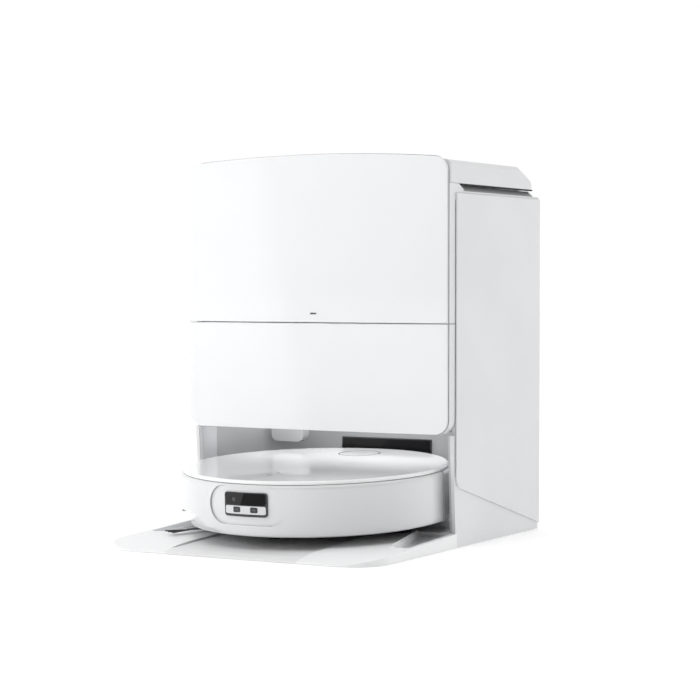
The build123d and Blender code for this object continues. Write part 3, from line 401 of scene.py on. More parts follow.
ribbed_rubber("brush_rubber", (0.11, 0.12, 0.14), 0.6)
ribbed_rubber("bristle", (0.03, 0.03, 0.032), 0.55, 900.0)
looped_pile("mop_fabric", (0.2, 0.21, 0.24))
bonded_fabric("bag_fabric", (0.82, 0.82, 0.80))
brushed("steel", (0.62, 0.62, 0.63), 0.3)
brushed("contact_metal", (0.78, 0.62, 0.33), 0.24)
circuit("board_green")
brushed("motor_metal", (0.5, 0.51, 0.53), 0.38)
gloss("robot_white", (0.73, 0.735, 0.745))
gloss("cover_white", (0.93, 0.935, 0.94))
moulded("edge_grey", (0.5, 0.505, 0.515), 0.4, variation=0.02)
moulded("base_grey", (0.6, 0.605, 0.615), 0.5, grain=1500.0, depth=0.04)
smoked_glass("sensor_glass", *SENSOR_SPLIT, 0.034)
smoked_glass("window_glass", *WINDOW_SPLIT, 0.010)
water("clean_water", (0.78, 0.9, 0.96))
water("dirty_water", (0.3, 0.29, 0.26))
gloss("lens_glass", (0.05, 0.05, 0.06), 0.04, 1.0)
moulded("diffuser", (0.7, 0.7, 0.71), 0.35, grain=700.0, depth=0.06, variation=0.04)
moulded("recess_shade_grey", (0.6, 0.605, 0.61), 0.5)
moulded("gap_shade_grey", (0.16, 0.16, 0.165), 0.6)
moulded("panel_gap_shade", (0.33, 0.33, 0.335), 0.6)
moulded("lens_rim", (0.055, 0.055, 0.06), 0.3)
moulded("groove_shade_grey", (0.27, 0.275, 0.28), 0.5)
moulded("label_silver", (0.55, 0.56, 0.57), 0.35, grain=4000.0)
bonded_fabric("filter_paper", (0.75, 0.73, 0.66))
finishes = {row["node"]: materials[row["material_slot"]] for row in frame["record"]["subparts"]}
finishes["docking_window"] = materials["window_glass"]
finishes["robot_chassis"] = materials["base_grey"]
for name in ("bumper", "robot_housing"):
    finishes[name] = materials["robot_white"]
for name in ("top_cover", "sensor_tower", "power_button", "dock_button"):
    finishes[name] = materials["cover_white"]
for name, finish in finishes.items():
    for holder in nodes[name].material_slots:
        holder.material = finish


# ---- Building shapes ----

WALL_R = 172.0
SIDES = (("left", -1), ("right", 1))
SQUARE = ((-1, -1), (1, -1), (1, 1), (-1, 1))


def circle(radius, steps=32, centre=(0.0, 0.0)):
    """Points round a circle, anticlockwise."""
    turns = [math.tau * step / steps for step in range(steps)]
    return [(centre[0] + radius * math.cos(a), centre[1] + radius * math.sin(a)) for a in turns]


def rounded_polygon(corners, radii, steps=6):
    """Closed outline whose corners are tangent arcs."""
    points = []
    for index, (corner, radius) in enumerate(zip(corners, radii)):
        here = Vector(corner)
        before = (Vector(corners[index - 1]) - here).normalized()
        after = (Vector(corners[(index + 1) % len(corners)]) - here).normalized()
        half = before.angle(after) / 2
        start = here + before * radius / math.tan(half)
        end = here + after * radius / math.tan(half)
        middle = here + (before + after).normalized() * radius / math.sin(half)
        sweep = math.pi - 2 * half
        for step in range(steps + 1):
            part = step / steps
            near_start = math.sin((1 - part) * sweep) / math.sin(sweep)
            near_end = math.sin(part * sweep) / math.sin(sweep)
            points.append(tuple(middle + (start - middle) * near_start + (end - middle) * near_end))
    return points


def rounded(width, height, radius, centre=(0.0, 0.0), steps=6):
    """Outline of a rounded rectangle, anticlockwise."""
    x, y = width / 2, height / 2
    corners = [(centre[0] + a, centre[1] + b) for a, b in ((x, y), (-x, y), (-x, -y), (x, -y))]
    return rounded_polygon(corners, [radius] * 4, steps)


def on_shell(arc, height, radius, shell=WALL_R):
    """Place on the robot's round wall with Z pointing out, an arc length to the right of its front."""
    angle = arc / shell
    outward = Vector((math.sin(angle), -math.cos(angle), 0.0))
    across = Vector((math.cos(angle), math.sin(angle), 0.0))
    return basis(across, (0, 0, 1), outward, outward * radius + Vector((0, 0, height)))


class Shape:
    """Closed solids gathered in millimetres and linked as one named piece."""

    def __init__(self):
        self.verts = []
        self.faces = []

    def loft(self, rings, place=None, closed=False):
        """Solid through rings with equal point counts, capped at its ends or closed into a loop."""
        start, count = len(self.verts), len(rings[0])
        place = place or Matrix.Identity(4)
        self.verts += [place @ Vector(point) for ring in rings for point in ring]
        levels = len(rings) if closed else len(rings) - 1
        for level in range(levels):
            below = start + level * count
            above = start + (level + 1) % len(rings) * count
            for index in range(count):
                after = (index + 1) % count
                self.faces.append((below + index, below + after, above + after, above + index))
        if not closed:
            self.faces.append(tuple(range(start + count - 1, start - 1, -1)))
            self.faces.append(tuple(range(start + levels * count, start + (levels + 1) * count)))
        return self

    def prism(self, outline, low, high, place=None):
        return self.loft([[(x, y, z) for x, y in outline] for z in (low, high)], place)

    def frame(self, outer, inner, low, high, place=None):
        """Flat frame between two outlines with equal point counts."""
        levels = ((outer, low), (outer, high), (inner, high), (inner, low))
        return self.loft([[(x, y, z) for x, y in line] for line, z in levels], place, closed=True)

    def block(self, low, high, radius=0.6, place=None):
        """Box between two corners, with its upright edges rounded."""
        size = [b - a for a, b in zip(low, high)]
        middle = ((low[0] + high[0]) / 2, (low[1] + high[1]) / 2)
        return self.prism(rounded(size[0], size[1], radius, middle, 3), low[2], high[2], place)

    def lathe(self, profile, place=None, steps=48):
        """Closed profile of radius and height turned about Z."""
        rings = []
        for step in range(steps):
            angle = math.tau * step / steps
            rings.append([(r * math.cos(angle), r * math.sin(angle), z) for r, z in profile])
        return self.loft(rings, place, closed=True)

    def dome(self, radius, height, place=None, steps=24):
        """Lens-like cap standing on Z = 0."""
        rings = []
        for level in range(6):
            lean = math.radians(84 * level / 5)
            ring = circle(radius * math.cos(lean), steps)
            rings.append([(x, y, height * math.sin(lean)) for x, y in ring])
        return self.loft([[(x, y, -0.2) for x, y in circle(radius, steps)]] + rings, place)

    def tube(self, points, radius, place=None, steps=8, closed=False):
        """Round bar along points."""
        points = [Vector(point) for point in points]
        rings = []
        side = None
        for index, point in enumerate(points):
            after = points[(index + 1) % len(points)] if closed or index + 1 < len(points) else point
            before = points[index - 1] if closed or index else point
            along = (after - before).normalized()
            if side is None:
                side = along.orthogonal().normalized()
            side = (side - along * side.dot(along)).normalized()
            up = along.cross(side)
            rings.append([point + (side * x + up * y) for x, y in circle(radius, steps)])
        return self.loft(rings, place, closed=closed)

    def strip(self, path, width, low, high, place=None):
        """Flat band along the right-hand side of an open path."""
        rings = []
        for index, point in enumerate(path):
            after = Vector(path[min(index + 1, len(path) - 1)])
            before = Vector(path[max(index - 1, 0)])
            along = (after - before).normalized()
            outer = Vector(point) + Vector((along.y, -along.x)) * width
            rings.append([(*point, low), (*outer, low), (*outer, high), (*point, high)])
        return self.loft(rings, place)

    def curved_plate(self, width, height, corner, inner, outer, centre=(0.0, 0.0), shell=WALL_R):
        """Rounded plate bent round the robot's wall between two radii."""
        stations = []
        for step in range(7):
            angle = math.radians(15 * step)
            x = width / 2 - corner * (1 - math.cos(angle))
            stations.append((x, height / 2 - corner * (1 - math.sin(angle))))
        middle = [(-width / 2 + corner) + (width - 2 * corner) * step / 15 for step in range(1, 15)]
        line = [(-x, half) for x, half in stations] + [(x, height / 2) for x in middle]
        line += [(x, half) for x, half in reversed(stations)]
        rings = []
        for x, half in line:
            angle = (centre[0] + x) / shell
            ring = []
            for radius, z in ((inner, -half), (outer, -half), (outer, half), (inner, half)):
                ring.append((radius * math.sin(angle), -radius * math.cos(angle), centre[1] + z))
            rings.append(ring)
        return self.loft(rings)

    def mesh(self, name, into):
        """Mesh in metres with its faces turned outward."""
        mesh = bpy.data.meshes.new(name)
        mesh.from_pydata([into @ vert for vert in self.verts], [], self.faces)
        build = bmesh.new()
        build.from_mesh(mesh)
        bmesh.ops.recalc_face_normals(build, faces=build.faces)
        build.to_mesh(mesh)
        build.free()
        return mesh

    def piece(self, name, body, slot, into=DOCK, material=None, bevel=0.0, smooth=35.0):
        """Links the shape as one piece that rides on a body; its material is the slot's unless named."""
        mesh = self.mesh(name, into)
        mesh.shade_smooth()
        mesh.set_sharp_from_angle(angle=math.radians(smooth))
        return dress(bpy.data.objects.new(name, mesh), body, slot, material, bevel)


def dress(piece, body, slot, material=None, bevel=0.0):
    """Links a piece with its finish, its body and an optional edge break in millimetres."""
    bpy.context.scene.collection.objects.link(piece)
    piece.data.materials.append(materials[material or slot])
    if bevel:
        edge = piece.modifiers.new("edge", "BEVEL")
        edge.width = bevel * MM
        edge.segments = 2
        edge.limit_method = "ANGLE"
        edge.harden_normals = True
    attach(piece, body)
    return piece


# ---- Robot: sensor module on the bumper ----

WINDOW_R = 171.5
GLASS = (0.0, 57.9)
STRIP = (0.0, 44.9)
EYES = (-11.5, 12.5)
RECESS_W, RECESS_H, RECESS_Z = 110.0, 47.0, 50.0
SHADE_RING_R = (169.5, 169.75)


def make_sensor_module():
    """Glass over the camera, a pale strip under it with two lamps, and a grey ring round the foot of the
    recess, painted as the shade of its edge.
    """
    glass = Shape().curved_plate(56.5, 14.2, 3.2, WINDOW_R, 171.85, GLASS)
    glass.piece("sensor_glass", "bumper_body", "dark_gloss", ROBOT, "sensor_glass")
    strip = Shape().curved_plate(56.5, 9.8, 2.2, WINDOW_R, 171.75, STRIP)
    strip.piece("sensor_strip", "bumper_body", "satin_white", ROBOT, "diffuser")
    lamps, lenses = Shape(), Shape()
    for x in EYES:
        lamps.curved_plate(10.0, 6.8, 1.6, 171.75, 171.92, (x, STRIP[1] + 0.4))
        lenses.dome(1.7, 0.5, on_shell(x + 1.0, STRIP[1] + 0.6, 171.9))
        lenses.dome(0.9, 0.3, on_shell(x - 2.6, STRIP[1] + 0.6, 171.9))
    lamps.piece("sensor_lamps", "bumper_body", "dark_gloss", ROBOT)
    lenses.piece("sensor_lenses", "bumper_body", "grey_plastic", ROBOT, "lens_glass")
    ring = [(2.6, 0.0), (2.6, 0.12), (1.7, 0.12), (1.7, 0.0)]
    camera = Shape().lathe(ring, on_shell(-15.6, 57.4, 171.84), 28)
    camera.dome(1.6, 0.2, on_shell(-15.6, 57.4, 171.85))
    camera.piece("camera_ring", "bumper_body", "dark_plastic", ROBOT, "lens_rim")
    outer = rounded(RECESS_W - 0.4, RECESS_H - 0.4, 23.2, (0, RECESS_Z), 10)
    inner = rounded(RECESS_W - 2.0, RECESS_H - 2.0, 22.4, (0, RECESS_Z), 10)
    deep, shallow = SHADE_RING_R
    rings = []
    for inside, outside in zip(inner, outer):
        section = ((inside, deep), (outside, deep), (outside, shallow), (inside, shallow))
        rings.append([(x, -math.sqrt(radius ** 2 - x ** 2), z) for (x, z), radius in section])
    shade_ring = Shape().loft(rings, closed=True)
    shade_ring.piece("recess_shade_ring", "bumper_body", "grey_plastic", ROBOT, "recess_shade_grey")


make_sensor_module()

# ---- Robot: skirt under the bumper, edge sensor, top marks ----


def make_side_skirt():
    """Pale skirt drawn in below the bumper's notch over the side brush."""
    profile = ((156.6, 14.5), (159.4, 13.2), (162.6, 30.0), (161.6, 32.2), (157.0, 32.2))
    rings = []
    for step in range(41):
        angle = math.radians(-94 + 78 * step / 40)
        rings.append([(r * math.sin(angle), -r * math.cos(angle), z) for r, z in profile])
    Shape().loft(rings).piece("side_skirt", "robot", "gloss_white", ROBOT)


def make_edge_sensor():
    """Small wall-following sensor under the left end of the bumper."""
    body = Shape().curved_plate(7.0, 11.0, 1.0, 166.9, 171.4, (-186.0, 28.4))
    body.piece("edge_sensor", "bumper_body", "grey_plastic", ROBOT, "label_silver")


def make_top_marks():
    """Plain power and home signs on the two buttons, and the seal and ring of the turret."""
    top, line = 79.9, 0.28
    arc = []
    for degrees in range(40, 321, 10):
        angle = math.radians(degrees)
        arc.append((2.5 * math.sin(angle), -114 + 2.5 * math.cos(angle), top))
    power = Shape().tube(arc, line)
    power.block((-line, -113.4, top - 0.2), (line, -110.6, top + 0.25), 0.2)
    power.piece("power_mark", "power_button_body", "grey_plastic", ROBOT)
    house = [(-2.6, -92.4, top), (0.0, -89.6, top), (2.6, -92.4, top)]
    walls = [(-1.8, -92.0, top), (-1.8, -94.4, top), (1.8, -94.4, top), (1.8, -92.0, top)]
    home = Shape().tube(house, line).tube(walls, line)
    home.piece("home_mark", "dock_button_body", "grey_plastic", ROBOT)
    seal = [(27.5, 78.6), (27.5, 80.15), (26.2, 80.15), (26.2, 78.6)]
    turret = at(0.0, LIDAR_LOCAL[1])
    Shape().lathe(seal, turret, 72).piece("turret_seal", "tower_body", "rubber_black", ROBOT)
    ring = [(12.2, 79.9), (12.2, 80.08), (11.4, 80.08), (11.4, 79.9)]
    Shape().lathe(ring, turret, 48).piece("turret_ring", "tower_body", "grey_plastic", ROBOT)


make_side_skirt()
make_edge_sensor()
make_top_marks()

# ---- Robot: rear and underside ----


def make_robot_rear():
    """Charging plates, dark plates painted as the shade inside the vacuum exhaust slots, and a docking
    sensor let into the rear wall.
    """
    behind = math.pi * WALL_R
    plates = Shape()
    for side in (-31.0, 31.0):
        plates.curved_plate(12.0, 9.0, 1.2, 171.7, 172.08, (behind + side, 31.0))
    plates.piece("charging_plates", "robot", "contact_metal", ROBOT)
    # Painted shade: dark plates stand where the exhaust slots' openings would be.
    slots = Shape()
    for column in range(8):
        for row in range(3):
            middle = (behind + 70 + 14 * column, 46 + 6.5 * row)
            slots.curved_plate(11.0, 2.2, 1.0, 171.6, 172.05, middle)
    slots.piece("exhaust_slot_shades", "robot", "dark_plastic", ROBOT, "gap_shade_grey")
    lens = Shape().curved_plate(22.0, 12.0, 5.0, 171.7, 172.06, (behind, 52.0))
    lens.piece("rear_sensor", "robot", "dark_gloss", ROBOT)


CLIFF_PLACES = ((-62.0, -132.0, -25.0), (62.0, -132.0, 25.0), (-146.0, -20.0, -82.0), (146.0, -20.0, 82.0))


def make_cliff_sensors():
    """Drop sensors looking down through the chassis, each a dark window in a raised rim."""
    rims, windows = Shape(), Shape()
    for x, y, turn in CLIFF_PLACES:
        place = at(x, y, 11.5) @ turned(turn)
        rims.frame(rounded(22, 10, 4.6), rounded(17, 6, 2.9), -0.7, 0.4, place)
        windows.prism(rounded(17.2, 6.2, 3.0), -0.3, 0.4, place)
    rims.piece("cliff_rims", "robot", "grey_plastic", ROBOT)
    windows.piece("cliff_windows", "robot", "dark_gloss", ROBOT)


BRUSH_PLACE = (-112.0, -78.0)
ARMS = 3
BRISTLES_PER_ARM = 18
HUB_FACE = [(0.01, 3.6), (6.5, 3.4), (8.6, 4.6), (9.0, 6.0), (9.0, 10.5)]
HUB_SHAFT = [(4.2, 10.5), (4.2, 29.0), (0.01, 29.0)]
ARM_STATIONS = ((5.0, 5.6, 1.1), (14.0, 4.6, 1.0), (24.0, 3.6, 0.9), (31.0, 3.0, 0.8))


def make_side_brush():
    """Three rubber arms ending in fans of bristles on a screwed hub."""
    place = at(*BRUSH_PLACE, 0.0)
    hub = Shape().lathe(HUB_FACE + HUB_SHAFT, place)
    bristles = Shape()
    random.seed(11)
    for arm in range(ARMS):
        turn = place @ turned(360 / ARMS * arm)
        rings = []
        for reach, half, thick in ARM_STATIONS:
            rings.append([(reach, a * half, 4.4 + b * thick) for a, b in SQUARE])
        hub.loft(rings, turn)
        for hair in range(BRISTLES_PER_ARM):
            part = hair / (BRISTLES_PER_ARM - 1) - 0.5
            sweep = math.radians(30 * part + random.uniform(-1.5, 1.5))
            length = random.uniform(55.5, 59.0)
            height = 4.0 + random.uniform(-0.35, 0.5)
            points = []
            for step in range(5):
                reach = 28 + (length - 28) * step / 4
                bend = sweep * (step / 4) ** 1.3 * 0.8
                points.append((reach * math.cos(bend), part * 5.0 + reach * math.sin(bend) * 0.9, height))
            bristles.tube(points, 0.3, turn, 5)
    head = Shape().dome(3.0, -0.6, place @ at(0, 0, 3.5))
    head.piece("side_brush_screw", "side_brush_body", "steel", ROBOT)
    hub_piece = hub.piece("side_brush_arms", "side_brush_body", "brush_rubber", ROBOT, smooth=50)
    bristle_piece = bristles.piece("side_brush_bristles", "side_brush_body", "bristle", ROBOT)
    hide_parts("side_brush")
    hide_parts("side_brush")


WHEEL_X = 120.0
WHEEL_AXLE = 32.0


def make_wheel_hubs():
    """Spoked hub plates on both faces of each driving wheel."""
    for name, side in SIDES:
        hub = Shape()
        for face in (-1, 1):
            place = at(side * WHEEL_X + face * 10.6, 0, WHEEL_AXLE) @ turned(90, "Y")
            hub.lathe([(17.5, -0.5), (17.5, 0.5), (14.8, 0.7), (14.8, -0.5)], place, 40)
            hub.lathe([(0.01, -0.5), (5.0, -0.5), (5.0, 0.9), (0.01, 0.9)], place, 24)
            for spoke in range(6):
                hub.block((4.5, -1.4, -0.5), (15.2, 1.4, 0.45), 0.5, place @ turned(60 * spoke))
        hub.piece(f"wheel_hub_{name}", f"wheel_{name}_body", "grey_plastic", ROBOT)


MOP_X, MOP_Y = 59.0, 86.0
PAD_STEPS = 90


def make_mop_pad(name, side, seed):
    """Round microfibre pad: puffed loops below, flat on its disc above, with a bound edge."""
    random.seed(seed)
    rings = []
    profile = [(53.2, 7.2), (53.9, 6.0), (53.9, 4.4), (53.2, 2.6), (51.6, 1.3)]
    profile += [(49.0 - 3.2 * step, 0.75 - 0.5 * math.sin(0.19 * step)) for step in range(13)]
    for level, (radius, height) in enumerate(profile):
        ring = []
        for step in range(PAD_STEPS):
            angle = math.tau * step / PAD_STEPS
            lump = 0.28 * math.sin(9 * angle + level) * (level > 4)
            lump += random.uniform(0.0, 0.35) * (level > 3)
            ring.append((radius * math.cos(angle), radius * math.sin(angle), max(0.05, height + lump)))
        rings.append(ring)
    place = at(side * MOP_X, MOP_Y)
    top = [(x, y, 7.8) for x, y in circle(52.0, PAD_STEPS)]
    pad = Shape().loft([top] + rings, place)
    body = f"mop_{name}_body"
    pad_piece = pad.piece(f"mop_pad_fabric_{name}", body, "mop_fabric", ROBOT, smooth=60)
    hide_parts(f"mop_pad_{name}")
    edge = [(x, y, 7.0) for x, y in circle(52.6, 96)]
    binding = Shape().tube(edge, 0.8, place, 8, closed=True)
    binding.piece(f"mop_binding_{name}", body, "mop_fabric", ROBOT, "bristle")


def make_dustbin_details():
    """Pleated filter, its frame and a grip on the dust box."""
    pleats = []
    for step in range(41):
        pleats.append((-50 + 2.5 * step, 50.5 if step % 2 else 57.0))
    outline = pleats + [(x, y + 0.8) for x, y in reversed(pleats)]
    paper = Shape().prism(outline, 38.0, 64.0)
    paper.piece("filter_pleats", "dustbin_body", "bag_fabric", ROBOT, "filter_paper")
    place = at(0, 58.6, 51) @ FACING_FRONT
    border = Shape().frame(rounded(112, 34, 3), rounded(102, 25, 2), 0.0, 9.0, place)
    border.piece("filter_frame", "dustbin_body", "grey_plastic", ROBOT)
    grip = Shape().prism(rounded(46, 9, 4.2, (0, -8)), 73.4, 75.0)
    grip.piece("dustbin_grip", "dustbin_body", "dark_plastic", ROBOT, bevel=0.4)


make_robot_rear()
make_cliff_sensors()
make_side_brush()
make_wheel_hubs()
make_mop_pad("left", -1, 3)
make_mop_pad("right", 1, 4)
make_dustbin_details()

# ---- Dock: painted shadow lines round the covers and in the lid's grooves ----

SIDE_X = 188.0
COVER_FRONT = -12.5
COVER_BACK = 233.0
COVER_TOP = 437.0
COVER_LOW_FRONT, COVER_LOW_BACK = 76.5, 9.0
COVER_CORNERS = (1, 9, 15, 1)


def cover_edge():
    """Side cover's free edge, from its top round the front to its back, as depth and height."""
    high = [(COVER_BACK, COVER_TOP), (COVER_FRONT, COVER_TOP)]
    low = [(COVER_FRONT, COVER_LOW_FRONT), (COVER_BACK, COVER_LOW_BACK)]
    outline = rounded_polygon(high + low, COVER_CORNERS)
    per_corner = len(outline) // 4
    end = COVER_BACK - 0.4
    return [(end, COVER_TOP)] + outline[per_corner:3 * per_corner] + [(end, COVER_LOW_BACK + 0.1)]


def make_cover_shadow_gaps():
    """Grey strip along each side cover's edge, painted as the shadow line in its gap."""
    edge = cover_edge()
    for name, side in SIDES:
        seal = Shape()
        place = Matrix(((0, 0, side, 0), (1, 0, 0, 0), (0, 1, 0, 0), (0, 0, 0, 1)))
        seal.strip(edge, -1.8, SIDE_X, SIDE_X + 0.5, place)
        seal.piece(f"cover_shadow_gap_{name}", "dock", "rubber_black", DOCK, "gap_shade_grey")


PANEL_HALF = 187.2
GAP_SHADE_W = 0.7
GAP_SHADE_DEPTH = (28.0, 29.6)


def panel_edge(low, side_top, crown, corner, low_corner):
    """Front panel's outline from one lower corner over the top to the other, as width and height."""
    corners = [(PANEL_HALF, low), (PANEL_HALF, side_top), (-PANEL_HALF, side_top), (-PANEL_HALF, low)]
    full = rounded_polygon(corners, [low_corner, corner, corner, low_corner])
    line = []
    for x, z in full:
        bulge = crown * (1 - (x / PANEL_HALF) ** 2) if z > side_top - 1.5 else 0.0
        line.append((x, z + bulge))
    if crown:
        top = [(a, side_top + crown * (1 - (a / PANEL_HALF) ** 2)) for a in range(160, -161, -20)]
        half = len(line) // 2
        line = line[:half] + top + line[half:]
    return line


def make_panel_shadow_gaps():
    """Grey strips in the gap round the two front panels, painted as its shadow line."""
    upper = panel_edge(277.6, 480.0, 8.0, 17.5, 0.6)
    seal = Shape().strip(upper, GAP_SHADE_W, *GAP_SHADE_DEPTH, FACING_FRONT)
    seal.piece("upper_panel_shadow_gap", "dock", "rubber_black", DOCK, "panel_gap_shade")
    low, high = 141.0, 276.2
    lower = [(x, high + low - z) for x, z in panel_edge(low + 0.6, high, 0.0, 17.5, 0.6)]
    seal = Shape().strip(lower, -GAP_SHADE_W, *GAP_SHADE_DEPTH, FACING_FRONT)
    seal.piece("lower_panel_shadow_gap", "front_cover", "rubber_black", DOCK, "panel_gap_shade")


def make_groove_shades():
    """Finger groove under each side of the lid: painted shade under the lid's overhang, a grey strip on
    the bevel and a dark strip in the gap above it.
    """
    for name, side in SIDES:
        place = Matrix(((side, 0, 0, 0), (0, 0, 1, 0), (0, 1, 0, 0), (0, 0, 0, 1)))
        bevel = [(181.2, 446.0), (188.0, 439.7), (188.1, 440.5), (181.6, 446.6)]
        bevel_shade = Shape().prism(bevel, 9.0, 213.5, place)
        bevel_shade.piece(f"groove_bevel_shade_{name}", "dock", "grey_plastic", DOCK, "groove_shade_grey")
        # Dark strip painted as the shadow in the gap under the lid.
        seal = [(180.5, 447.4), (187.4, 447.2), (187.8, 448.8), (180.5, 448.8)]
        dark = Shape().prism(seal, 6.0, 214.5, place)
        dark.piece(f"lid_shadow_gap_{name}", "lid", "rubber_black", DOCK)


make_cover_shadow_gaps()
make_panel_shadow_gaps()
make_groove_shades()

# ---- Dock: tanks and lid ----

TANK_Y = 71.0


def make_tank(name, x_middle, level, slot, liquid):
    """Water, gasket, latches, level marks, grip and filler cap that lift out with one tank."""
    body = f"{name}_tank_body"
    middle = (x_middle, TANK_Y)
    water_body = Shape().prism(rounded(162.0, 152.0, 10.0, middle), 282.4, level)
    water_body.piece(f"{name}_water", body, slot, DOCK, liquid, smooth=60)
    outer = rounded(167.2, 157.2, 11.5, middle)
    gasket = Shape().frame(outer, rounded(160.0, 150.0, 8.0, middle), 427.2, 428.4)
    gasket.piece(f"{name}_tank_gasket", body, "rubber_black")
    latch = Shape()
    for x in (x_middle - 62, x_middle + 62):
        latch.block((x - 9, -9.2, 418.0), (x + 9, -7.0, 436.0), 0.8)
        latch.block((x - 6, -10.4, 421.0), (x + 6, -8.8, 424.0), 0.6)
    latch.piece(f"{name}_tank_latches", body, "grey_plastic", bevel=0.3)
    marks = Shape()
    for step in range(7):
        width = 16.0 if step % 3 == 0 else 9.0
        right, low = x_middle + 66, 300 + 17 * step
        marks.block((right - width, -8.25, low), (right, -7.9, low + 1.2), 0.05)
    marks.piece(f"{name}_level_marks", body, "dark_plastic")
    grip = Shape()
    for step in range(9):
        x = x_middle - 32 + 8 * step
        grip.block((x - 1.2, 63.2, 451.7), (x + 1.2, 78.8, 452.5), 0.8)
    grip.piece(f"{name}_handle_grip", body, "rubber_black")
    place = at(x_middle + 52, 116)
    profile = [(0.01, 436.8), (15, 436.8), (15, 439.6), (13.6, 441.0), (0.01, 441.0)]
    cap = Shape().lathe(profile, place)
    for rib in range(18):
        cap.block((14.2, -0.7, 437.0), (15.8, 0.7, 440.2), 0.3, place @ turned(20 * rib))
    cap.piece(f"{name}_filler_cap", body, "grey_plastic", bevel=0.2)


LID_RIB_TOP = 483.4


def rib_top(x):
    """Height of the lid's ribs under its arched top."""
    return LID_RIB_TOP - 9.5 * (x / 188) ** 2


def make_lid_underside():
    """Crossing ribs under the lid, and a soft pad ring over each tank."""
    ribs = Shape()
    for y in (10, 60, 110, 160):
        rings = []
        for step in range(19):
            x = -176 + 352 * step / 18
            top = rib_top(x) - max(0.0, y - 138) * 0.12
            low, front, back = top - 9, y - 0.9, y + 0.9
            rings.append([(x, front, low), (x, back, low), (x, back, top), (x, front, top)])
        ribs.loft(rings)
    for x in (-120, -60, 0, 60, 120):
        top = rib_top(x)
        ribs.block((x - 0.9, -18, top - 9), (x + 0.9, 166, top - 4.5), 0.3)
    ribs.piece("lid_ribs", "lid", "satin_white")
    pads = Shape()
    for x in (-88, 88):
        middle = (x, TANK_Y)
        pads.frame(rounded(120, 100, 12, middle), rounded(112, 92, 9, middle), 458.5, 461.5)
        for a, b in SQUARE:
            left, front = x + 58 * a - 2, TANK_Y + 48 * b - 2
            pads.block((left, front, 460), (left + 4, front + 4, 474), 0.5)
    pads.piece("lid_tank_pads", "lid", "rubber_black")


make_tank("clean", -88.0, 398.0, "clear_tank", "clean_water")
make_tank("dirty", 88.0, 352.0, "smoke_tank", "dirty_water")
make_lid_underside()

# ---- Dock: dust bag and the bay behind the lower cover ----

BAG_MIDDLE = (-101.0, 68.5, 209.0)
BAG_HALF = (60.0, 64.0, 53.0)
BAG_ROOM = ((-165.5, 0.6, 150.6), (-36.5, 139.0, 267.5))
BAG_CAP = 0.006
SEAM_HALF, SEAM_RISE = 0.0022, 0.0006
COLLAR_Y = (139.2, 144.8)
PORT = (-101.0, 209.0)


def bag_start():
    """Slack bag before it is blown up: a box with soft corners, gathered where it meets its collar."""
    build = bmesh.new()
    bmesh.ops.create_cube(build, size=2.0)
    bmesh.ops.subdivide_edges(build, edges=build.edges, cuts=11, use_grid_fill=True)
    for vert in build.verts:
        x, y, z = vert.co
        back = max(0.0, y) ** 3
        pinch = 1.0 - 0.16 * back
        soft = 1.0 - 0.07 * (x * x * z * z) - 0.05 * (y * y * z * z) - 0.05 * (x * x * y * y)
        fold = 0.018 * math.sin(9.0 * x + 2.0 * z) * (1.0 - abs(y)) + 0.014 * math.sin(7.0 * z + 3.0 * y)
        vert.co.x = (BAG_MIDDLE[0] + BAG_HALF[0] * x * pinch * soft * (1 + fold)) * MM
        vert.co.y = (BAG_MIDDLE[1] + BAG_HALF[1] * y * soft) * MM
        vert.co.z = (BAG_MIDDLE[2] + BAG_HALF[2] * z * pinch * soft * (1 - fold) - 2.0 * (1 - y)) * MM
    mesh = bpy.data.meshes.new("dust_bag_cloth")
    build.to_mesh(mesh)
    build.free()
    return bpy.data.objects.new("dust_bag_cloth", mesh)


def applied(piece):
    """Replaces a piece's mesh by what its modifiers make of it."""
    depsgraph = bpy.context.evaluated_depsgraph_get()
    mesh = bpy.data.meshes.new_from_object(piece.evaluated_get(depsgraph))
    piece.modifiers.clear()
    old = piece.data
    piece.data = mesh
    bpy.data.meshes.remove(old)


def blow_up(piece, pressure, frames, cap):
    """Cloth simulation with inner pressure; no point moves further than the cap, in metres."""
    start = [vert.co.copy() for vert in piece.data.vertices]
    cloth = piece.modifiers.new("cloth", "CLOTH")
    cloth.settings.use_pressure = True
    cloth.settings.uniform_pressure_force = pressure
    cloth.settings.effector_weights.gravity = 0.0
    cloth.settings.quality = 6
    cloth.settings.mass = 0.2
    cloth.point_cache.frame_end = frames
    for frame_number in range(1, frames + 1):
        bpy.context.scene.frame_set(frame_number)
    applied(piece)
    bpy.context.scene.frame_set(1)
    for vert, origin in zip(piece.data.vertices, start):
        move = vert.co - origin
        if move.length > cap:
            vert.co = origin + move.normalized() * cap


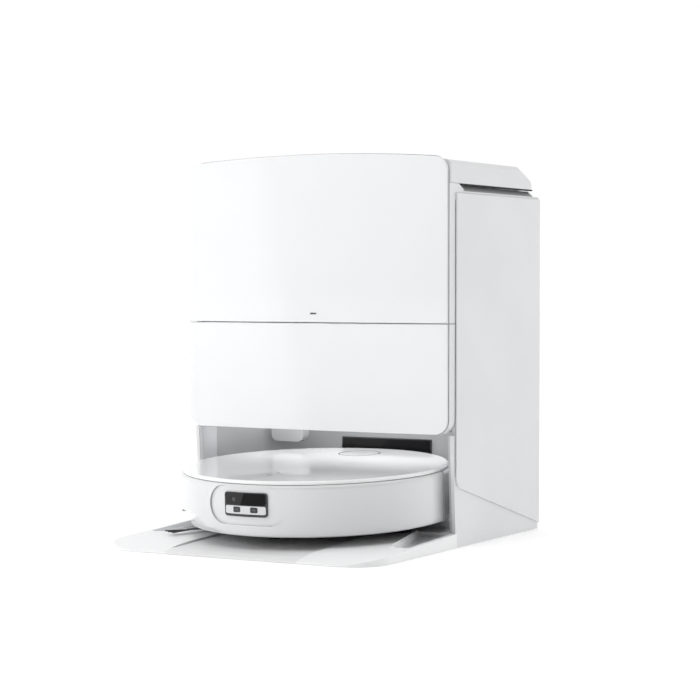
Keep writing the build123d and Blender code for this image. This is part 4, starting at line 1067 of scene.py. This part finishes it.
def make_dust_bag():
    """Filter-fabric bag, blown up a little, on a rigid ribbed collar, with a pull loop."""
    bag = bag_start()
    dress(bag, "dust_bag_body", "bag_fabric")
    remesh = bag.modifiers.new("remesh", "REMESH")
    remesh.mode = "VOXEL"
    remesh.voxel_size = 0.005
    applied(bag)
    blow_up(bag, 4.0, 20, BAG_CAP)
    low, high = [Vector(corner) * MM for corner in BAG_ROOM]
    for vert in bag.data.vertices:
        vert.co = Vector(max(a, min(b, c)) for a, c, b in zip(low, vert.co, high))
    smooth = bag.modifiers.new("smooth", "SMOOTH")
    smooth.factor = 0.5
    smooth.iterations = 3
    applied(bag)
    middle = Vector(BAG_MIDDLE) * MM
    for vert in bag.data.vertices:
        if abs(vert.co.x - middle.x) < SEAM_HALF:
            vert.co.z += math.copysign(SEAM_RISE, vert.co.z - middle.z)
    smoother = bag.modifiers.new("subdivision", "SUBSURF")
    smoother.levels = smoother.render_levels = 1
    bag.data.shade_smooth()
    if not bag.data.materials:
        bag.data.materials.append(materials["bag_fabric"])
    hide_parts("dust_bag")
    collar = Shape()
    place = at(PORT[0], 0, PORT[1]) @ FACING_FRONT
    hole = circle(21.5, 28)
    collar.frame(rounded(110, 96, 8), hole[3:] + hole[:3], -COLLAR_Y[1], -COLLAR_Y[0], place)
    collar.lathe([(20.2, -144.9), (23.8, -144.9), (23.8, -143.0), (20.2, -143.0)], place, 40)
    collar.piece("bag_collar", "dust_bag_body", "grey_plastic", material="label_silver", bevel=0.5)
    ribs = Shape()
    for z in (-38, 38):
        ribs.block((-46, z - 1.0, -139.4), (46, z + 1.0, -138.2), 0.4, place)
    ribs.piece("bag_collar_ribs", "dust_bag_body", "grey_plastic", material="label_silver")
    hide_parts("dust_bag")
    loop = Shape()
    rings = []
    for step in range(17):
        angle = math.pi * step / 16
        x, z = -101 - 13 * math.cos(angle), 266.2 + 5.2 * math.sin(angle)
        rings.append([(x, 128, z), (x, 136, z), (x, 136, z + 0.7), (x, 128, z + 0.7)])
    loop.loft(rings).piece("bag_pull_loop", "dust_bag_body", "bag_fabric")


def make_bag_bay():
    """Liner that the bag slides out of, and the slotted and screwed panel in front of the fan."""
    liner = Shape()
    place = at(PORT[0] - 0.5, 0, 209.5) @ FACING_FRONT
    liner.frame(rounded(149, 126, 6), rounded(146, 123, 5), -137.0, 8.0, place)
    liner.frame(rounded(160, 128, 6), rounded(146, 123, 5), 8.0, 9.6, place)
    liner.piece("bag_bay_liner", "dock", "bay_grey", bevel=0.3)
    panel = Shape()
    left, right, low, high = -18.0, 178.0, 149.0, 271.5
    slots = 9
    step = (high - low - 24) / slots
    for x in (left, right - 16):
        panel.block((x, 8.0, low), (x + 16, 10.0, high), 0.4)
    bars = [(low, low + 12), (high - 12, high)]
    for slot in range(slots + 1):
        z = low + 12 + step * slot
        bars.append((z - 2.6, z + 2.6))
    for bottom, top in bars:
        panel.block((left + 15.9, 8.0, bottom), (right - 15.9, 10.0, top), 0.1)
    panel.piece("fan_panel", "dock", "bay_grey", bevel=0.25)
    screws = Shape()
    for x in (left + 7, right - 7):
        for z in (low + 7, high - 7):
            screws.dome(3.2, 1.4, at(x, 8.0, z) @ FACING_FRONT)
    screws.piece("fan_panel_screws", "dock", "steel")


make_dust_bag()
make_bag_bay()

# ---- Dock: back, bay and ramp details ----


def make_dock_rear():
    """Exhaust mesh and filter behind the slots, and a blank rating plate and inlet bezel on the back."""
    mesh = Shape()
    for row in range(13):
        mesh.tube([(38, 229.2, 166 + 6.5 * row), (152, 229.2, 166 + 6.5 * row)], 0.5, None, 5)
    for column in range(18):
        mesh.tube([(40 + 6.5 * column, 228.4, 164), (40 + 6.5 * column, 228.4, 246)], 0.5, None, 5)
    mesh.piece("exhaust_mesh", "dock", "dark_plastic")
    foam = Shape().prism(rounded(118, 86, 4), -226.6, -225.0, at(95, 0, 205) @ FACING_FRONT)
    foam.piece("exhaust_filter", "dock", "dark_plastic", material="filter_paper")
    plate = Shape().prism(rounded(60, 26, 2.5), 232.9, 233.1, at(-70, 0, 95) @ FACING_BACK)
    plate.piece("rating_plate", "dock", "steel", material="label_silver")
    inlet = at(-135, 0, 45) @ FACING_BACK
    bezel = Shape().frame(rounded(39, 31, 4), rounded(33.4, 25.4, 2), 232.4, 233.15, inlet)
    bezel.piece("inlet_bezel", "dock", "dark_plastic", bevel=0.2)


def make_bay_details():
    """Seal lip round the docking window, and refill nozzles under the ceiling."""
    low, high = span("docking_window")
    width, height = high.x - low.x, high.z - low.z
    middle = ((low.x + high.x) / 2, 0, (low.z + high.z) / 2)
    place = at(*middle) @ FACING_FRONT
    outer = rounded(width + 2.4, height + 2.4, 1.4)
    lip = Shape().frame(outer, rounded(width - 0.4, height - 0.4, 0.3), -159.6, -157.2, place)
    lip.piece("window_lip", "dock", "dark_gloss")
    nozzles = Shape()
    for x in (-58, 58):
        place = at(x, 152, 58) @ FACING_FRONT
        nozzles.lathe([(2.2, -7.6), (6.0, -7.6), (5.0, -2.0), (4.2, 0.0), (2.2, 0.0)], place, 28)
    nozzles.piece("refill_nozzles", "dock", "rubber_black")


def make_bay_edges():
    """Grey strips inside the side walls, from the front edge of the bay back to its lining."""
    bay_half, thick = 183.5, 3.0
    outline = [(-10.6, 19.3), (-17.9, 139.2), (19.9, 139.2), (19.9, 20.6)]
    for name, low, high in (("left", -bay_half, thick - bay_half), ("right", bay_half - thick, bay_half)):
        strip = Shape().prism(outline, low, high, FACING_RIGHT)
        strip.piece(f"bay_edge_{name}", "dock", "bay_grey", DOCK, "edge_grey")


make_dock_rear()
make_bay_details()
make_bay_edges()

# ---- Stage and light ----


FLOOR_GLOW = 0.26
DIM_SIDE = (0.62, -0.77, -0.15)
SKY_FADE = (("From Min", -0.1), ("From Max", 0.85), ("To Min", 1.02), ("To Max", 0.0))


def make_stage():
    """White floor under a white sky that fades out towards the front right."""
    bpy.ops.mesh.primitive_plane_add(size=60.0)
    floor = bpy.context.object
    floor.name = "floor"
    g = Graph("floor_white")
    glow = g.spread(g.noise(0.5, 1.0), 0.985, 1.0)
    g.set(
        Base_Color=g.ramp(glow, [(0.0, (0.9, 0.9, 0.9)), (1.0, (0.92, 0.92, 0.92))]),
        Roughness=0.9,
        Emission_Color=(1.0, 1.0, 1.0, 1.0),
        Emission_Strength=FLOOR_GLOW,
    )
    floor.data.materials.append(materials["floor_white"])
    scene = bpy.context.scene
    scene.view_settings.view_transform = "Standard"
    world = bpy.data.worlds.new("studio")
    scene.world = world
    world.use_nodes = True
    tree = world.node_tree
    background = tree.nodes["Background"]
    direction = tree.nodes.new("ShaderNodeTexCoord").outputs["Generated"]
    side = tree.nodes.new("ShaderNodeVectorMath")
    side.operation = "DOT_PRODUCT"
    side.inputs[1].default_value = DIM_SIDE
    tree.links.new(direction, side.inputs[0])
    fall = tree.nodes.new("ShaderNodeMapRange")
    for key, value in SKY_FADE:
        fall.inputs[key].default_value = value
    tree.links.new(side.outputs["Value"], fall.inputs["Value"])
    tree.links.new(fall.outputs["Result"], background.inputs["Strength"])
    background.inputs["Color"].default_value = (1.0, 1.0, 1.0, 1.0)


def soft_box(name, place, target, size, power, roll=0.0, reflected=False):
    """Rectangular area light aimed at a point, rolled by an angle in degrees."""
    data = bpy.data.lights.new(name, "AREA")
    data.shape = "RECTANGLE"
    data.size, data.size_y = size
    data.energy = power
    light = bpy.data.objects.new(name, data)
    light.location = place
    light.visible_camera = False
    light.visible_glossy = reflected
    aim = (Vector(target) - Vector(place)).to_track_quat("-Z", "Y").to_matrix().to_4x4()
    light.rotation_euler = (aim @ turned(roll)).to_euler()
    bpy.context.scene.collection.objects.link(light)


make_stage()
soft_box("key", (-2.4, -2.2, 1.6), (0.0, 0.0, 0.25), (1.2, 2.0), 0.8)
soft_box("left_card", (-1.149, -1.124, 0.45), (-0.6, -0.289, 0.45), (0.6, 1.1), 1.3, 15.0, True)
soft_box("front_fill", (-0.8, -1.5, 0.6), (0.0, -0.1, 0.1), (1.2, 0.8), 6.8)
soft_box("top_fill", (0.0, -0.7, 1.9), (0.0, -0.1, 0.1), (1.4, 1.0), 6.5)
soft_box("side_fill", (1.8, 1.0, 0.6), (0.19, 0.0, 0.2), (1.2, 1.2), 5.7)
soft_box("bay_fill", (0.0, 0.058, 0.1415), (0.0, 0.058, 0.0), (0.35, 0.18), 0.36)
